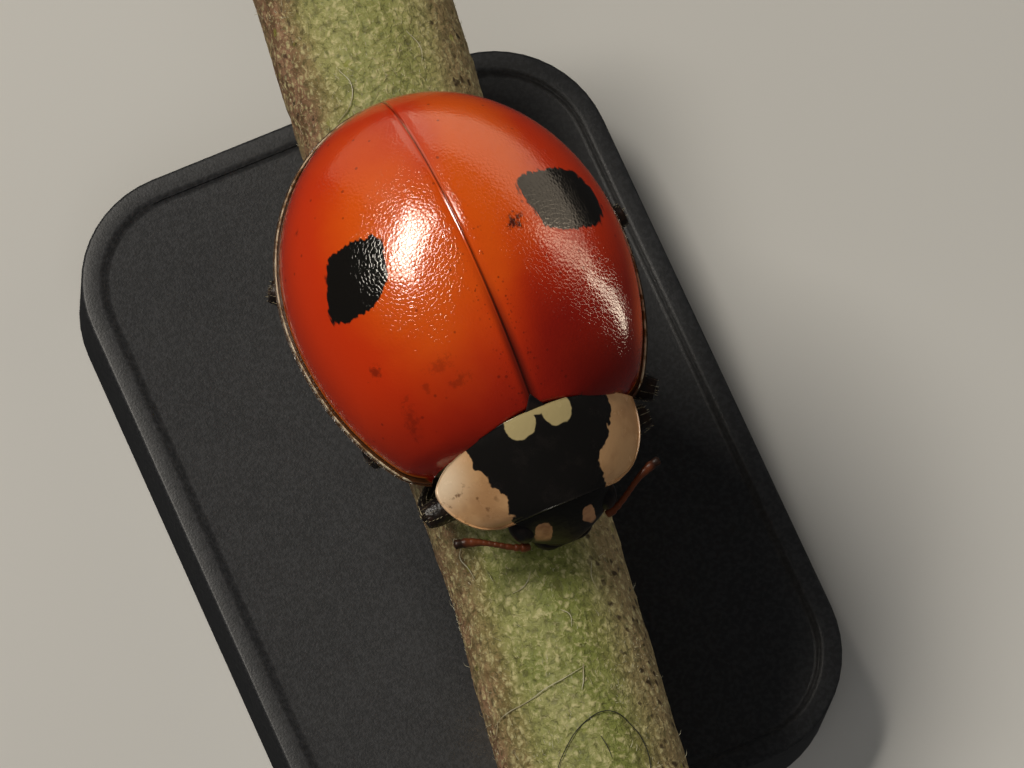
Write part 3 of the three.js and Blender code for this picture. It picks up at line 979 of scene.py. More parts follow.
def fuzz(count):
    """Hairs all round the stem. Most are short, and about three in a hundred are long."""
    dice = random.Random(11)
    hairs = []
    for _ in range(count):
        turn = dice.uniform(-math.pi, math.pi)
        along = dice.uniform(-STEM_HALF + 0.05, STEM_HALF - 0.05)
        root = on_stem(turn, along, -0.012)
        outward = Vector((math.sin(turn), 0, math.cos(turn)))
        around = Vector((math.cos(turn), 0, -math.sin(turn)))
        heading = dice.gauss(0, 0.9)
        flat = Vector((0, math.cos(heading), 0)) + around * math.sin(heading)
        stand = abs(dice.gauss(0.2, 0.35))
        way = (flat + outward * (0.3 + stand)).normalized()
        end_way = (flat - outward * (0.1 - stand * 0.5)).normalized()
        long = dice.uniform(0.02, 0.055) if dice.random() < 0.97 else dice.uniform(0.07, 0.15)
        patch = (0.01 + 0.98 * (turn / TAU + 0.5), 0.01 + 0.98 * (along / STEM_HALF / 2 + 0.5))
        hairs.append((root, way, end_way, long, dice.uniform(0.002, 0.004), patch))
    return tufts("stem_fuzz", hairs)


settle(fuzz(9000), (), STEM_PLACE, -STEM_TURN)


# %% The loose fibres
FIBRE_LIFT = 0.014
FIBRE_HOP = 0.012  # every other point stands this much higher, so that a fibre touches here and there


def fibre(route, radius):
    """A long fibre over the stem's skin, through points given as turn and along."""
    hops = [FIBRE_LIFT + FIBRE_HOP * (number % 2) for number in range(len(route))]
    points = [on_stem(turn, along, hop) for (turn, along), hop in zip(route, hops)]
    radii = [radius * 0.5] + [radius] * (len(route) - 2) + [radius * 0.3]
    return limb("fibre", points, radii, 6, 1)


PALE_FIBRES = [  # each a route over the skin and a radius
    (((-1.25, -3.47), (-1.0, -3.42), (-0.58, -3.39), (-0.39, -3.35), (-0.12, -3.3),
      (0.1, -3.24)), 0.0048),
    (((0.08, -3.22), (0.05, -3.32), (0.02, -3.41), (-0.02, -3.48)), 0.0065),
    (((-1.02, -1.56), (-0.94, -1.52), (-0.9, -1.6), (-0.96, -1.72), (-0.9, -1.86),
      (-0.84, -2.0)), 0.006),
    (((-0.42, -2.3), (-0.3, -2.29), (-0.22, -2.24), (-0.16, -2.16)), 0.005),
    (((-1.15, -3.44), (-1.2, -3.53), (-1.3, -3.58)), 0.006),
    (((0.02, -2.62), (0.1, -2.7), (0.08, -2.82)), 0.005),
    (((0.55, -2.2), (0.48, -2.35), (0.52, -2.5)), 0.005),
    (((-0.7, 3.0), (-0.5, 3.1), (-0.42, 3.3), (-0.5, 3.5)), 0.005),
    (((0.3, 3.7), (0.4, 3.5), (0.36, 3.3)), 0.005),
    (((2.6, -2.0), (2.9, -1.7), (3.2, -1.5), (3.3, -1.2)), 0.006),
    (((1.6, 0.9), (1.8, 1.1), (1.9, 1.5), (2.2, 1.7)), 0.005),
]
DARK_FIBRES = [
    (((-0.6, -4.25), (-0.41, -4.04), (-0.06, -3.79), (0.21, -3.76), (0.42, -3.96), (0.5, -4.19),
      (0.47, -4.45), (0.38, -4.6)), 0.0055),
    (((0.03, -3.98), (0.06, -4.1), (0.08, -4.24)), 0.006),
]
pale_fibres = joined("stem_fibres", [fibre(*thread) for thread in PALE_FIBRES])
settle(pale_fibres, (), STEM_PLACE, -STEM_TURN)
dark_fibres = joined("dark_fibres", [fibre(*thread) for thread in DARK_FIBRES])
settle(dark_fibres, (), STEM_PLACE, -STEM_TURN)

# %% [markdown]
# ## The stand
#
# Two short brass rods hold the stem over a dark base. Each rod is turned from bar: a collar
# where it enters the base, a straight shaft and a flared cup whose top is scooped to the
# stem. The rod is a cylinder, extruded and resized ring by ring. Its top is then moved up to
# the stem's underside, which cuts the scoop.

# %% The base
BASE_CORNER = 1.25  # radius of its corners, seen from above
BASE_BORDER = 0.22
BASE_GROOVE = 0.05
base_low, base_high = (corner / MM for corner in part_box("stand_base"))
bpy.ops.object.select_all(action="DESELECT")
bpy.ops.mesh.primitive_cube_add(size=1, location=(base_low + base_high) / 2)
base = named("display_base")
bpy.ops.transform.resize(value=base_high - base_low)
bpy.ops.object.transform_apply(location=True, rotation=True, scale=True)
with shaping(base):
    choose_edges(base, lambda a, b: abs(a.z - b.z) > 0.5)
    bpy.ops.mesh.bevel(offset=BASE_CORNER, segments=12, profile=0.5)
    choose(base, lambda p: p.z > base_high.z - 1e-4, "FACE")
    bpy.ops.mesh.inset(thickness=BASE_BORDER)
    bpy.ops.mesh.inset(thickness=BASE_GROOVE, depth=-BASE_GROOVE)
bevel(base, 0.09, 4, 35)
settle(base, ["stand_base"], Vector())

# %% The rods
ROD_RINGS = (  # how much higher each ring is than the last, and how much wider
    (0.16, 1.0), (0.04, 0.88), (0.02, 0.85), (0.9, 1.0),  # the collar and the shaft
    (0.12, 1.0), (0.1, 1.1), (0.12, 1.21), (0.1, 1.0),  # the cup
)
DISC = 0.1  # height of the cylinder that each rod starts from, all of it inside the base
CUP = 0.45  # the height at the top that is stretched to meet the stem
SUNK = 0.06  # how far below the base's top the first ring starts
CLEAR = 0.02  # how much wider than the stem the scoop is
DROP = 0.004  # how much lower it lies than a snug one


def turned_rod(name, radius):
    """A rod on its own axis. Its first ring starts at 0."""
    bpy.ops.object.select_all(action="DESELECT")
    bpy.ops.mesh.primitive_cylinder_add(
        vertices=64, radius=radius, depth=DISC, end_fill_type="NGON", location=(0, 0, -DISC / 2)
    )
    made = named(name)
    bpy.ops.object.transform_apply(location=True)
    with shaping(made):
        choose(made, lambda p: p.z > -0.1 * DISC, "FACE")
        for rise, wider in ROD_RINGS:
            extrude((0, 0, rise), (wider, wider, 1))
        for width in (0.05, 0.12, 0.12):
            bpy.ops.mesh.inset(thickness=width)
    return made


def rod(node, name):
    low, high = (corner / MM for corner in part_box(node))
    middle = (low + high) / 2
    made = turned_rod(name, (high.x - low.x) / 2)
    foot = base_high.z - SUNK
    neck = max(v.co.z for v in made.data.vertices) - CUP
    along = math.hypot(middle.x, middle.y) * math.copysign(1, middle.y)
    fat = STEM_RADIUS * (1 + STEM_TAPER * along / STEM_HALF) + CLEAR

    def scooped(p):
        up = p.z
        if up > neck:
            across = p.x * math.cos(STEM_TURN) - p.y * math.sin(STEM_TURN)
            underside = STEM_UP - math.sqrt(fat ** 2 - across ** 2) - DROP - foot
            up = mix(neck, underside, (up - neck) / CUP)
        return Vector((middle.x + p.x, middle.y + p.y, foot + up))

    mould(made, scooped)
    bevel(made, 0.018, 3, 30)
    return made


settle(rod("stand_rod_front", "brass_rod_front"), ["stand_rod_front"], Vector())
settle(rod("stand_rod_back", "brass_rod_back"), ["stand_rod_back"], Vector())

# %% [markdown]
# ## Finishes
#
# A material is a small program drawn as nodes. Written as Python sums it is easier to read, so
# one class wraps a socket, and adding or multiplying two of them adds the node that does it.
# Every pattern reads the piece's own place in millimetres, so a spot stays where it is on the
# beetle, whatever the camera does.

# %% Wires: shader sums written as Python
def feed(tree, socket, value):
    if isinstance(value, Wire):
        tree.links.new(value.socket, socket)
    elif isinstance(value, (tuple, list)) and socket.type == "RGBA" and len(value) == 3:
        socket.default_value = (*value, 1)
    elif isinstance(value, (int, float)) and socket.type == "VECTOR":
        socket.default_value = (value, value, value)
    else:
        socket.default_value = value


class Wire:
    """One socket of a node tree. Sums on it add the nodes that work them out."""

    def __init__(self, socket):
        self.socket = socket

    def node(self, kind, settings=None, inputs=None, output=0):
        """Adds a node: its settings first, then the values or wires of its sockets."""
        tree = self.socket.id_data
        made = tree.nodes.new(kind)
        for name, value in (settings or {}).items():
            setattr(made, name, value)
        for key, value in (inputs or {}).items():
            feed(tree, made.inputs[key], value)
        return Wire(made.outputs[output])

    def sum(self, operation, first, second):
        kind = "ShaderNodeVectorMath" if self.socket.type == "VECTOR" else "ShaderNodeMath"
        return self.node(kind, {"operation": operation}, {0: first, 1: second})

    def __add__(self, other):
        return self.sum("ADD", self, other)

    def __radd__(self, other):
        return self.sum("ADD", other, self)

    def __sub__(self, other):
        return self.sum("SUBTRACT", self, other)

    def __rsub__(self, other):
        return self.sum("SUBTRACT", other, self)

    def __mul__(self, other):
        return self.sum("MULTIPLY", self, other)

    def __rmul__(self, other):
        return self.sum("MULTIPLY", other, self)

    def __truediv__(self, other):
        return self.sum("DIVIDE", self, other)

    def __pow__(self, other):
        return self.sum("POWER", self, other)

    def __abs__(self):
        return self.sum("ABSOLUTE", self, 0)

    def most(self, other):
        return self.sum("MAXIMUM", self, other)

    def fade(self, start, end):
        """0 at start and 1 at end, with a soft step between. start may be the larger."""
        return self.node(
            "ShaderNodeMapRange", {"interpolation_type": "SMOOTHSTEP"},
            {"Value": self, "From Min": start, "From Max": end},
        )

    def parts(self):
        """The three numbers of a vector."""
        made = self.socket.id_data.nodes.new("ShaderNodeSeparateXYZ")
        feed(self.socket.id_data, made.inputs[0], self)
        return [Wire(output) for output in made.outputs]

    def grain(self, scale, detail=3.0, rough=0.55):
        """Soft random clouds, from about 0.2 to 0.8."""
        inputs = {"Vector": self, "Scale": scale, "Detail": detail, "Roughness": rough}
        return self.node("ShaderNodeTexNoise", {}, inputs)

    def warped(self, scale, by):
        """The same place pushed about by noise, so that round cells turn ragged."""
        push = self.node("ShaderNodeTexNoise", {}, {"Vector": self, "Scale": scale, "Detail": 2.0}, 1)
        return push.node("ShaderNodeVectorMath", {"operation": "MULTIPLY_ADD"}, {0: push, 1: by, 2: self})

    def cells(self, scale, feature="F1"):
        """Distance to the middle of random cells."""
        return self.node("ShaderNodeTexVoronoi", {"feature": feature}, {"Vector": self, "Scale": scale})


# %% [markdown]
# A few shader sums come back in every finish. Two colours are blended by a mask, heights are made
# into a normal, and an ellipse is a mask for a spot. A Mix node has sockets for numbers, vectors
# and colours under the same names, so they are picked by their number.

# %% Blends, bumps and spots
MIX_FACTOR, MIX_LOW, MIX_HIGH, MIX_RESULT = 0, 6, 7, 2  # the Mix node's sockets for colours


def blend(low, high, factor):
    """The colour low where factor is 0, and high where it is 1."""
    inputs = {MIX_FACTOR: factor, MIX_LOW: low, MIX_HIGH: high}
    return factor.node("ShaderNodeMix", {"data_type": "RGBA"}, inputs, MIX_RESULT)


def bumped(*layers):
    """A normal from several heights. Each layer is a height wire and its depth in mm."""
    normal = None
    for height, depth in layers:
        inputs = {"Height": height, "Distance": depth * MM}
        if normal:
            inputs["Normal"] = normal
        normal = height.node("ShaderNodeBump", {}, inputs)
    return normal


def ellipse(x, y, middle, radii, power=2.0):
    """1 on the border of an ellipse, less inside it and more outside."""
    across = abs((x - middle[0]) / radii[0]) ** power
    along = abs((y - middle[1]) / radii[1]) ** power
    return (across + along) ** (1 / power)


# %% [markdown]
# Each finish starts with a new material and the place of a point in millimetres, and ends by
# joining its colour, roughness and normal to the shader. Then the pieces that wear it get it.

# %% The start and the end of a finish


def started(name, origin=WIDEST, turn=0.0, mirror=-1):
    """A new material and its place in millimetres from an origin. mirror -1 makes y run forward."""
    material = bpy.data.materials.new(name)
    material.use_nodes = True
    metres = Wire(material.node_tree.nodes.new("ShaderNodeTexCoord").outputs["Object"])
    inputs = {
        "Vector": metres,
        "Scale": (1 / MM, mirror / MM, 1 / MM),
        "Rotation": (0, 0, turn),
        "Location": (-origin.x, -mirror * origin.y, -origin.z),
    }
    return material, metres.node("ShaderNodeMapping", {}, inputs)


def lacquered(material, colour, roughness, normal=None, **fixed):
    """Joins the wires to the material's shader. Names in fixed are its steady settings."""
    shader = material.node_tree.nodes["Principled BSDF"]
    inputs = {"Base Color": colour, "Roughness": roughness}
    if normal:
        inputs["Normal"] = normal
    for key, value in fixed.items():
        inputs[key.replace("_", " ")] = value
    for name, value in inputs.items():
        feed(material.node_tree, shader.inputs[name], value)
    return material


def dress(material, *names):
    for name in names:
        piece = bpy.data.objects[name]
        piece.data.materials.clear()
        piece.data.materials.append(material)
    print(f"{material.name} ({len(material.node_tree.nodes)} nodes) on", ", ".join(names))


# %% [markdown]
# The wing cases are lacquer-bright red. The orange on top is a painted glow, light shining through
# the thin shell, and the deeper red towards the front and the rim is painted shade. Their finish is
# laid on in the order of a painter: first the red ground, then freckles and stains, then the seam
# and the rim, and the black spots last. Each step takes the colour so far and gives back a new one.
# The ground comes first: a wide soft ellipse of painted orange glow on each side, broken up by
# clouds of noise, painted shade at the front and the rim, and a painted band of light on the left edge.

# %% The wing cases' red ground
# The orange is a painted glow of light through the shell, the deep red and the front shade are painted
# shade, and the edge colour is painted light.
PAINTED_GLOW_ORANGE = (0.78, 0.105, 0.006)
RED = (0.62, 0.038, 0.005)
PAINTED_SHADE_RED = (0.26, 0.010, 0.005)
FRONT_SHADE = (0.12, 0.005, 0.003)
LEFT_EDGE_PAINTED_LIGHT = (1.0, 0.13, 0.015)


def outline_share(x, forward):
    """1 on the wing cases' outline and less inside it."""
    ahead = forward.fade(-0.01, 0.01)
    radius = TIP + (FRONT_RADIUS - TIP) * ahead
    return ((x / HALF_WIDTH) ** 2.0 + (abs(forward) / radius) ** 2.0) ** 0.5


def red_ground(place, clouds):
    x, forward, up = place.parts()
    later = forward + x.fade(-0.05, 0.5) * 0.75  # on the left side, all of it lies further back
    # Painted glow: orange where light would shine through the thin shell, in a wide soft ellipse on each
    # side.
    painted_glow = ellipse(abs(x), later, (0.55, -0.2), (0.8, 1.5)) + (clouds - 0.5) * 0.7 + x.fade(0.3, 1.5) * 0.4
    colour = blend(RED, PAINTED_GLOW_ORANGE, painted_glow.fade(1.2, 0.35))
    # Painted shade: a deeper red over the front, and along the rim on the right side.
    front = later.fade(0.7, 1.9).most(forward.fade(0.9, 1.6) * x.fade(-0.2, 0.3) * 0.95)
    border = outline_share(x, forward).fade(0.88, 0.99) * x.fade(0.2, -0.2) * 0.3
    colour = blend(colour, PAINTED_SHADE_RED, front.most(border) * (0.6 + 0.6 * clouds))
    # Painted light: a brighter red along the lower left edge, where light from the room would fall.
    painted_left_edge_light = x.fade(1.1, 1.45) * up.fade(0.75, 0.35) * forward.fade(1.9, 1.2)
    colour = blend(colour, LEFT_EDGE_PAINTED_LIGHT, painted_left_edge_light)
    return blend(colour, FRONT_SHADE, forward.fade(1.0, 1.6) * x.fade(0.1, 0.7) * 0.7)


# %% [markdown]
# A wild beetle is never spotless. It has a few brown freckles and stains, rows of fine dark pits
# beside the seam and a stray speck here and there. A freckle is an ellipse whose border is pushed
# about by so much fine noise that it falls apart.

# %% Freckles and pits
DIMPLES = 24.0  # shallow cells to the millimetre
FRECKLE_BROWN = (0.05, 0.008, 0.004)
PIT_BROWN = (0.07, 0.008, 0.004)
FRECKLES = [  # middle, radii, darkness
    ((0.53, -0.04), (0.085, 0.07), 1.2),
    ((-1.29, 0.73), (0.05, 0.06), 0.7),
    ((-1.38, -0.98), (0.03, 0.03), 0.8),
    ((-0.72, 0.98), (0.12, 0.06), 0.35),
    ((-0.6, 1.2), (0.1, 0.05), 0.45),
    ((-1.14, 1.3), (0.05, 0.16), 0.45),
    ((-0.92, 1.12), (0.04, 0.05), 0.4),
]


def freckled(colour, place):
    x, forward, up = place.parts()
    side = abs(x)
    fine = place.grain(16.0, 3.0, 0.7)
    for middle, radii, dark in FRECKLES:
        mask = (ellipse(x, forward, middle, radii) + (fine - 0.5) * 5.0).fade(1.4, 0.1) * dark * 0.8
        colour = blend(colour, FRECKLE_BROWN, mask)
    dots = place.cells(DIMPLES).fade(0.36, 0.18) * fine.fade(0.42, 0.56)
    rows = side.fade(0.07, 0.1) * side.fade(0.24, 0.13) * forward.fade(-0.8, 0.3) * up.fade(0.5, 0.9)
    stray = place.cells(5.0).fade(0.11, 0.05) * 0.5
    return blend(colour, PIT_BROWN, (dots * rows * 0.6).most(stray))


# %% [markdown]
# The two edges that meet at the seam are dark, more so towards the front, and a band of painted
# shade lies beside the seam at the front. The rim has bands: an orange line at the dome's foot, which
# is a painted highlight, a brown gutter, a pale mottled top that is partly the rim's own colour and
# partly a painted highlight on its bead, and a dark outer edge. They are told apart by how high they
# lie and by how near to the outline.

# %% Seam and rim
SEAM_DARK_AND_SHADE = (0.045, 0.006, 0.004)
FOOT_PAINTED_HIGHLIGHT = (0.80, 0.22, 0.03)
GUTTER_BROWN = (0.045, 0.022, 0.010)
RIM_PALE_AND_PAINTED_HIGHLIGHT = (0.62, 0.52, 0.36)
RIM_MOTTLE = (0.20, 0.11, 0.045)
RIM_DARK = (0.05, 0.025, 0.012)


def rim_mask(place):
    x, forward, _ = place.parts()
    return outline_share(x, forward).fade(0.986, 0.989)


def edged(colour, place):
    x, forward, up = place.parts()
    side = abs(x)
    seam = side.fade(0.024, 0.008) * (0.3 + 0.65 * forward.fade(-0.4, 1.0))
    # Painted shade: a broader darkening beside the seam towards the front.
    shade = side.fade(0.1, 0.01) * forward.fade(0.0, 1.2) * 0.8
    colour = blend(colour, SEAM_DARK_AND_SHADE, seam.most(shade))
    border = outline_share(x, forward).fade(0.94, 0.95)
    # Painted highlight: an orange line at the dome's foot, where the rim catches the light.
    colour = blend(colour, FOOT_PAINTED_HIGHLIGHT, up.fade(0.1, 0.06) * border * 0.6)
    colour = blend(colour, GUTTER_BROWN, up.fade(0.045, 0.02) * border * 0.95)
    rim = rim_mask(place)
    # The rim's pale top is partly its own colour and partly a painted highlight on its bead.
    colour = blend(colour, blend(RIM_PALE_AND_PAINTED_HIGHLIGHT, RIM_MOTTLE, place.grain(9.0, 3.0).fade(0.42, 0.6)), rim)
    return blend(colour, RIM_DARK, up.fade(0.0, -0.015) * rim)


# %% [markdown]
# Each wing case has one black spot with a ragged edge. The two differ a little, as they do on a
# live beetle, so each has its own radii and its own lean. A power of three makes the ellipse
# squarer, and two noises, one of them stretched along the body, fray its border.

# %% The black spots
SPOT_BLACK = (0.008, 0.007, 0.006)
SPOTS = [  # middle, radii, lean
    ((-1.11, -0.19), (0.31, 0.355), 0.3),
    ((1.13, -0.15), (0.38, 0.36), -0.27),
]


def spotted(colour, place):
    x, forward, _ = place.parts()
    fray = (place.grain(3.2, 2.0) - 0.5) * 0.36 + ((place * (22.0, 5.0, 10.0)).grain(1.0, 2.0) - 0.5) * 0.3
    for middle, radii, lean in SPOTS:
        leaning = x + (forward - middle[1]) * lean
        mask = (ellipse(leaning, forward, middle, radii, 3.0) + fray).fade(1.03, 0.97)
        colour = blend(colour, SPOT_BLACK, mask)
    return colour


# %% [markdown]
# The real surface is covered with tiny shallow cells, a little over twenty to the millimetre,
# which break the highlight into grains. A bump of less than a thousandth of a millimetre is
# enough for that. It fades out at the seam, where the two edges form a smooth ridge.

# %% The wing cases' relief and their whole finish


def wing_relief(place, clouds, rim):
    x, _, up = place.parts()
    side = abs(x)
    strength = side.fade(0.02, 0.07) * (0.65 + 0.35 * up.fade(0.8, 1.3))
    pebbles = place.cells(DIMPLES).fade(0.22, 0.66) * strength
    grooves = place.cells(DIMPLES, "DISTANCE_TO_EDGE").fade(0.09, 0.0) * strength
    ridge = side.fade(0.03, 0.004)
    beads = place.grain(14.0, 3.0, 0.7) * rim
    return bumped((clouds, 0.003), (pebbles, -0.0007), (grooves, -0.0005), (ridge, 0.009), (beads, 0.012))


def wing_finish():
    material, place = started("wing_case_lacquer")
    clouds = place.grain(1.3, 3.0)
    rim = rim_mask(place)
    colour = red_ground(place, clouds)
    for layer in (freckled, edged, spotted):
        colour = layer(colour, place)
    roughness = 0.07 + 0.05 * place.grain(6.0, 3.0) + rim * 0.12
    return lacquered(material, colour, roughness, wing_relief(place, clouds, rim), Specular_IOR_Level=0.55)


dress(wing_finish(), "wing_case_left", "wing_case_right")

# %% [markdown]
# The shield and the head are polished black with cream marks. On the shield a cream patch fills
# each side and a small twin mark sits on the middle of the hind edge. On the head are two small
# buff spots between the eyes. The patches' borders waver, which a little noise added to the
# distance gives.

# %% The shield's finish
GLOSS_BLACK = (0.0085, 0.0075, 0.0068)
DUSKY_BLACK = (0.012, 0.010, 0.009)
CREAM = (0.62, 0.36, 0.17)
CREAM_SHADED = (0.40, 0.20, 0.085)
CREAM_LIT = (0.95, 0.76, 0.54)
CREAM_MARK = (0.50, 0.40, 0.19)
SOIL = (0.13, 0.055, 0.018)
BEAD_BROWN = (0.16, 0.07, 0.025)


def cream_of_patch(place):
    """The cream of the side patches: clouded, with painted light towards the hind outer corner on the
    right, and a little soiled on the right.
    """
    x, forward, _ = place.parts()
    cream = blend(CREAM, CREAM_SHADED, place.grain(2.4, 3.0).fade(0.4, 0.66) * 0.6)
    # Painted light: the right patch is lighter towards its outer hind corner, where it catches the light.
    cream = blend(cream, CREAM_LIT, x.fade(-0.7, -1.05) * forward.fade(2.3, 1.9) * 0.85)
    soiled = place.grain(9.0, 4.0).fade(0.56, 0.68) * x.fade(-0.55, -0.75) * forward.fade(1.9, 2.1)
    return blend(cream, SOIL, soiled * forward.fade(2.45, 2.3) * 0.8)


def twin_mark(side, forward, wobble):
    """Two lobes on the hind edge, joined by a strip."""
    lobes = ellipse(side, forward, (0.2, 1.785), (0.155, 0.16), 2.3) + wobble * 2.4
    strip = side.fade(0.33, 0.3) * (forward + wobble * 0.5).fade(1.79, 1.775)
    return lobes.fade(1.05, 0.97).most(strip)


def shield_finish():
    material, place = started("shield_black_and_cream")
    x, forward, up = place.parts()
    side = abs(x)
    wobble = (place.grain(4.0, 2.0) - 0.5) * 0.13 + (place.grain(13.0, 1.0) - 0.5) * 0.09
    right_side = x.fade(0.3, -0.3)
    border = 0.445 + 0.11 * right_side + (0.235 - 0.105 * right_side) * forward.fade(2.4, 2.05)
    border = border + (0.105 - 0.045 * right_side) * forward.fade(2.1, 1.84)
    patch = (side + wobble - border).fade(-0.008, 0.008) * up.fade(0.13, 0.17)
    dusky = place.grain(5.0, 3.0)
    colour = blend(GLOSS_BLACK, DUSKY_BLACK, dusky.fade(0.5, 0.7))
    colour = blend(colour, cream_of_patch(place), patch)
    colour = blend(colour, CREAM_MARK, twin_mark(side, forward, wobble) * up.fade(0.5, 0.8))
    side_bead = (side - SHIELD_HALF).fade(0.0, 0.03) * up.fade(0.5, 0.3)
    colour = blend(colour, BEAD_BROWN, side_bead * 0.8)
    pebbles = place.cells(22.0, "SMOOTH_F1")
    normal = bumped((place.grain(2.0, 2.0), 0.006), (pebbles, -0.0018))
    return lacquered(material, colour, 0.2 + 0.12 * dusky, normal)


dress(shield_finish(), "shield")

# %% The head's finish
BUFF = (0.52, 0.26, 0.12)
BUFF_SHADED = (0.36, 0.16, 0.07)
LIP_BROWN = (0.06, 0.024, 0.011)


def head_finish():
    material, place = started("head_black")
    x, forward, up = place.parts()
    wobble = (place.grain(9.0, 2.0) - 0.5) * 0.9
    smaller_left = 1 + 0.25 * x.fade(0.0, 0.1)
    spots = ellipse(abs(x + 0.04), forward, (0.25, 2.73), (0.09, 0.072), 2.4) * smaller_left
    spots = (spots + wobble).fade(1.06, 0.94)
    buff = blend(BUFF, BUFF_SHADED, place.grain(8.0, 2.0).fade(0.4, 0.7))
    colour = blend(GLOSS_BLACK, buff, spots * up.fade(0.0, 0.1))
    lip = forward.fade(2.84, 2.93) * abs(x).fade(0.36, 0.28)
    colour = blend(colour, LIP_BROWN, lip * 0.8)
    pebbles = place.cells(24.0, "SMOOTH_F1")
    normal = bumped((place.grain(4.0, 2.0), 0.008), (pebbles, -0.003))
    return lacquered(material, colour, 0.3 + 0.1 * place.grain(9.0), normal)


dress(head_finish(), "head_capsule")

# %% [markdown]
# The smaller finishes follow: glassy eyes, a matt pitted underside, dark legs that turn brown at
# the feet, and russet feelers whose club is dark.

# %% The finishes of eyes and underside


def eye_finish():
    material, place = started("eye_black")
    tint = blend((0.006, 0.006, 0.007), (0.02, 0.014, 0.012), place.grain(6.0).fade(0.4, 0.7))
    return lacquered(material, tint, 0.3 + 0.1 * place.grain(12.0), Specular_IOR_Level=0.3)


def underside_finish():
    material, place = started("underside_pitch")
    x, forward, _ = place.parts()
    brown_sides = abs(x).fade(0.85, 1.3) * forward.fade(0.3, -0.3)
    colour = blend((0.012, 0.009, 0.008), (0.11, 0.042, 0.018), brown_sides * 0.9)
    colour = blend(colour, (0.035, 0.02, 0.013), place.grain(4.0).fade(0.45, 0.7))
    pits = place.cells(16.0)
    normal = bumped((place.grain(5.0, 3.0), 0.012), (pits, 0.005))
    return lacquered(material, colour, 0.34 + 0.16 * place.grain(7.0), normal)


dress(eye_finish(), "eye_dome_left", "eye_dome_right", "scutellum_plate")
dress(underside_finish(), "body_plates", "mouthparts")

# %% The finishes of legs, bristles and feelers


def leg_finish():
    material, place = started("leg_brown_black")
    up = place.parts()[2]
    tone = place.grain(5.0, 3.0)
    brown = (tone.fade(0.4, 0.8) * 0.3).most(up.fade(-0.5, -1.3) * 0.6)
    colour = blend((0.011, 0.008, 0.007), (0.09, 0.036, 0.014), brown)
    normal = bumped((place.grain(30.0, 2.0), 0.006), (place.cells(26.0), 0.006))
    return lacquered(material, colour, 0.3 + 0.18 * tone, normal)


def bristle_finish():
    material, place = started("bristle_gold")
    colour = blend((0.72, 0.62, 0.40), (0.05, 0.026, 0.012), place.grain(9.0).fade(0.44, 0.58))
    return lacquered(material, colour, 0.3 + 0.1 * place.grain(20.0))


def feeler_finish():
    material, place = started("feeler_russet")
    club = abs(place.parts()[0]).fade(0.98, 1.08)
    colour = blend((0.14, 0.034, 0.011), (0.02, 0.009, 0.006), club)
    colour = blend(colour, (0.06, 0.022, 0.010), place.grain(12.0).fade(0.5, 0.7) * 0.6)
    normal = bumped((place.grain(40.0), 0.002))
    return lacquered(material, colour, 0.32 + 0.15 * place.grain(16.0), normal)


leg_material = leg_finish()
for name in LEGS:
    dress(leg_material, "thigh_" + name, "shin_" + name, "foot_" + name, "claws_" + name)
dress(leg_material, "palp_joints_left", "palp_joints_right")
dress(bristle_finish(), "leg_bristles")
dress(feeler_finish(), "feeler_left", "feeler_right")

# %% [markdown]
# The stem is green where the light falls on its top and pinkish tan on its flanks. The ground
# colour is mixed from where round the stem a point lies, broken up by clouds of noise.

# %% The stem's green top and tan flanks
STEM_GREEN = (0.37, 0.36, 0.13)
STEM_DEEP_GREEN = (0.22, 0.245, 0.055)
STEM_TAN = (0.32, 0.22, 0.115)
STEM_PINK = (0.32, 0.15, 0.10)
STEM_DEEP_PINK = (0.17, 0.065, 0.045)


def stem_flank(place):
    """0 on the green top and 1 on the flanks and underneath, with a border of cloud."""
    x, _, up = place.parts()
    cloud = (place * (1.6, 0.8, 1.6)).grain(1.0, 4.0, 0.6)
    flank = (abs(x + 0.1) + (cloud - 0.5) * 0.7).fade(0.35, 0.85).most(up.fade(0.1, -0.5))
    return flank, cloud


def stem_ground(place, flank, cloud):
    x, along, _ = place.parts()
    by_the_head = along.fade(2.0, -3.5)
    deep = cloud.fade(0.36, 0.6) * (0.5 + 0.5 * by_the_head)
    green = blend(STEM_GREEN, STEM_DEEP_GREEN, deep)
    pink = blend(STEM_PINK, STEM_DEEP_PINK, place.grain(5.0, 3.0).fade(0.42, 0.6))
    blush = (place.grain(1.7, 3.0) + 0.1).fade(0.4, 0.6) * x.fade(0.2, -0.6)
    return blend(green, blend(STEM_TAN, pink, blush), flank * 0.85)


# %% [markdown]
# Over that ground lies the skin: pale swollen cells, darker chinks, a little lime green, and dust
# that gathers on the flanks. Cells and noise read a place that is itself pushed about by noise,
# because plain round cells look like a pattern and not like a plant.

# %% The stem's skin, its dust and its cut ends
CHINK_GREEN = (0.09, 0.10, 0.03)
CELL_PALE = (0.68, 0.61, 0.31)
CELL_SHADE = (0.08, 0.07, 0.025)
LIME = (0.25, 0.27, 0.03)
DUST_BROWN = (0.035, 0.018, 0.010)
RING_GREEN = (0.30, 0.34, 0.12)
PITH = (0.66, 0.62, 0.42)


def dusted(colour, place, rough, flank):
    x = place.parts()[0]
    strewn = place.grain(2.1).fade(0.46, 0.58) * (0.2 + 0.8 * flank)
    strewn = strewn.most(x.fade(0.3, 0.6) * place.grain(2.6).fade(0.4, 0.5))
    return blend(colour, DUST_BROWN, rough.cells(7.0).fade(0.3, 0.15) * strewn * 0.85)


def cut_ends(colour, place):
    """A green ring of bark round the paler pith."""
    x, along, up = place.parts()
    out = (x ** 2.0 + up ** 2.0) ** 0.5
    ring = out.fade(0.93, 0.9) * abs(along).fade(STEM_HALF - 0.02, STEM_HALF - 0.01)
    colour = blend(colour, RING_GREEN, ring)
    pith = out.fade(0.8, 0.74) * abs(along).fade(STEM_HALF - 0.08, STEM_HALF - 0.04)
    return blend(colour, PITH, pith)


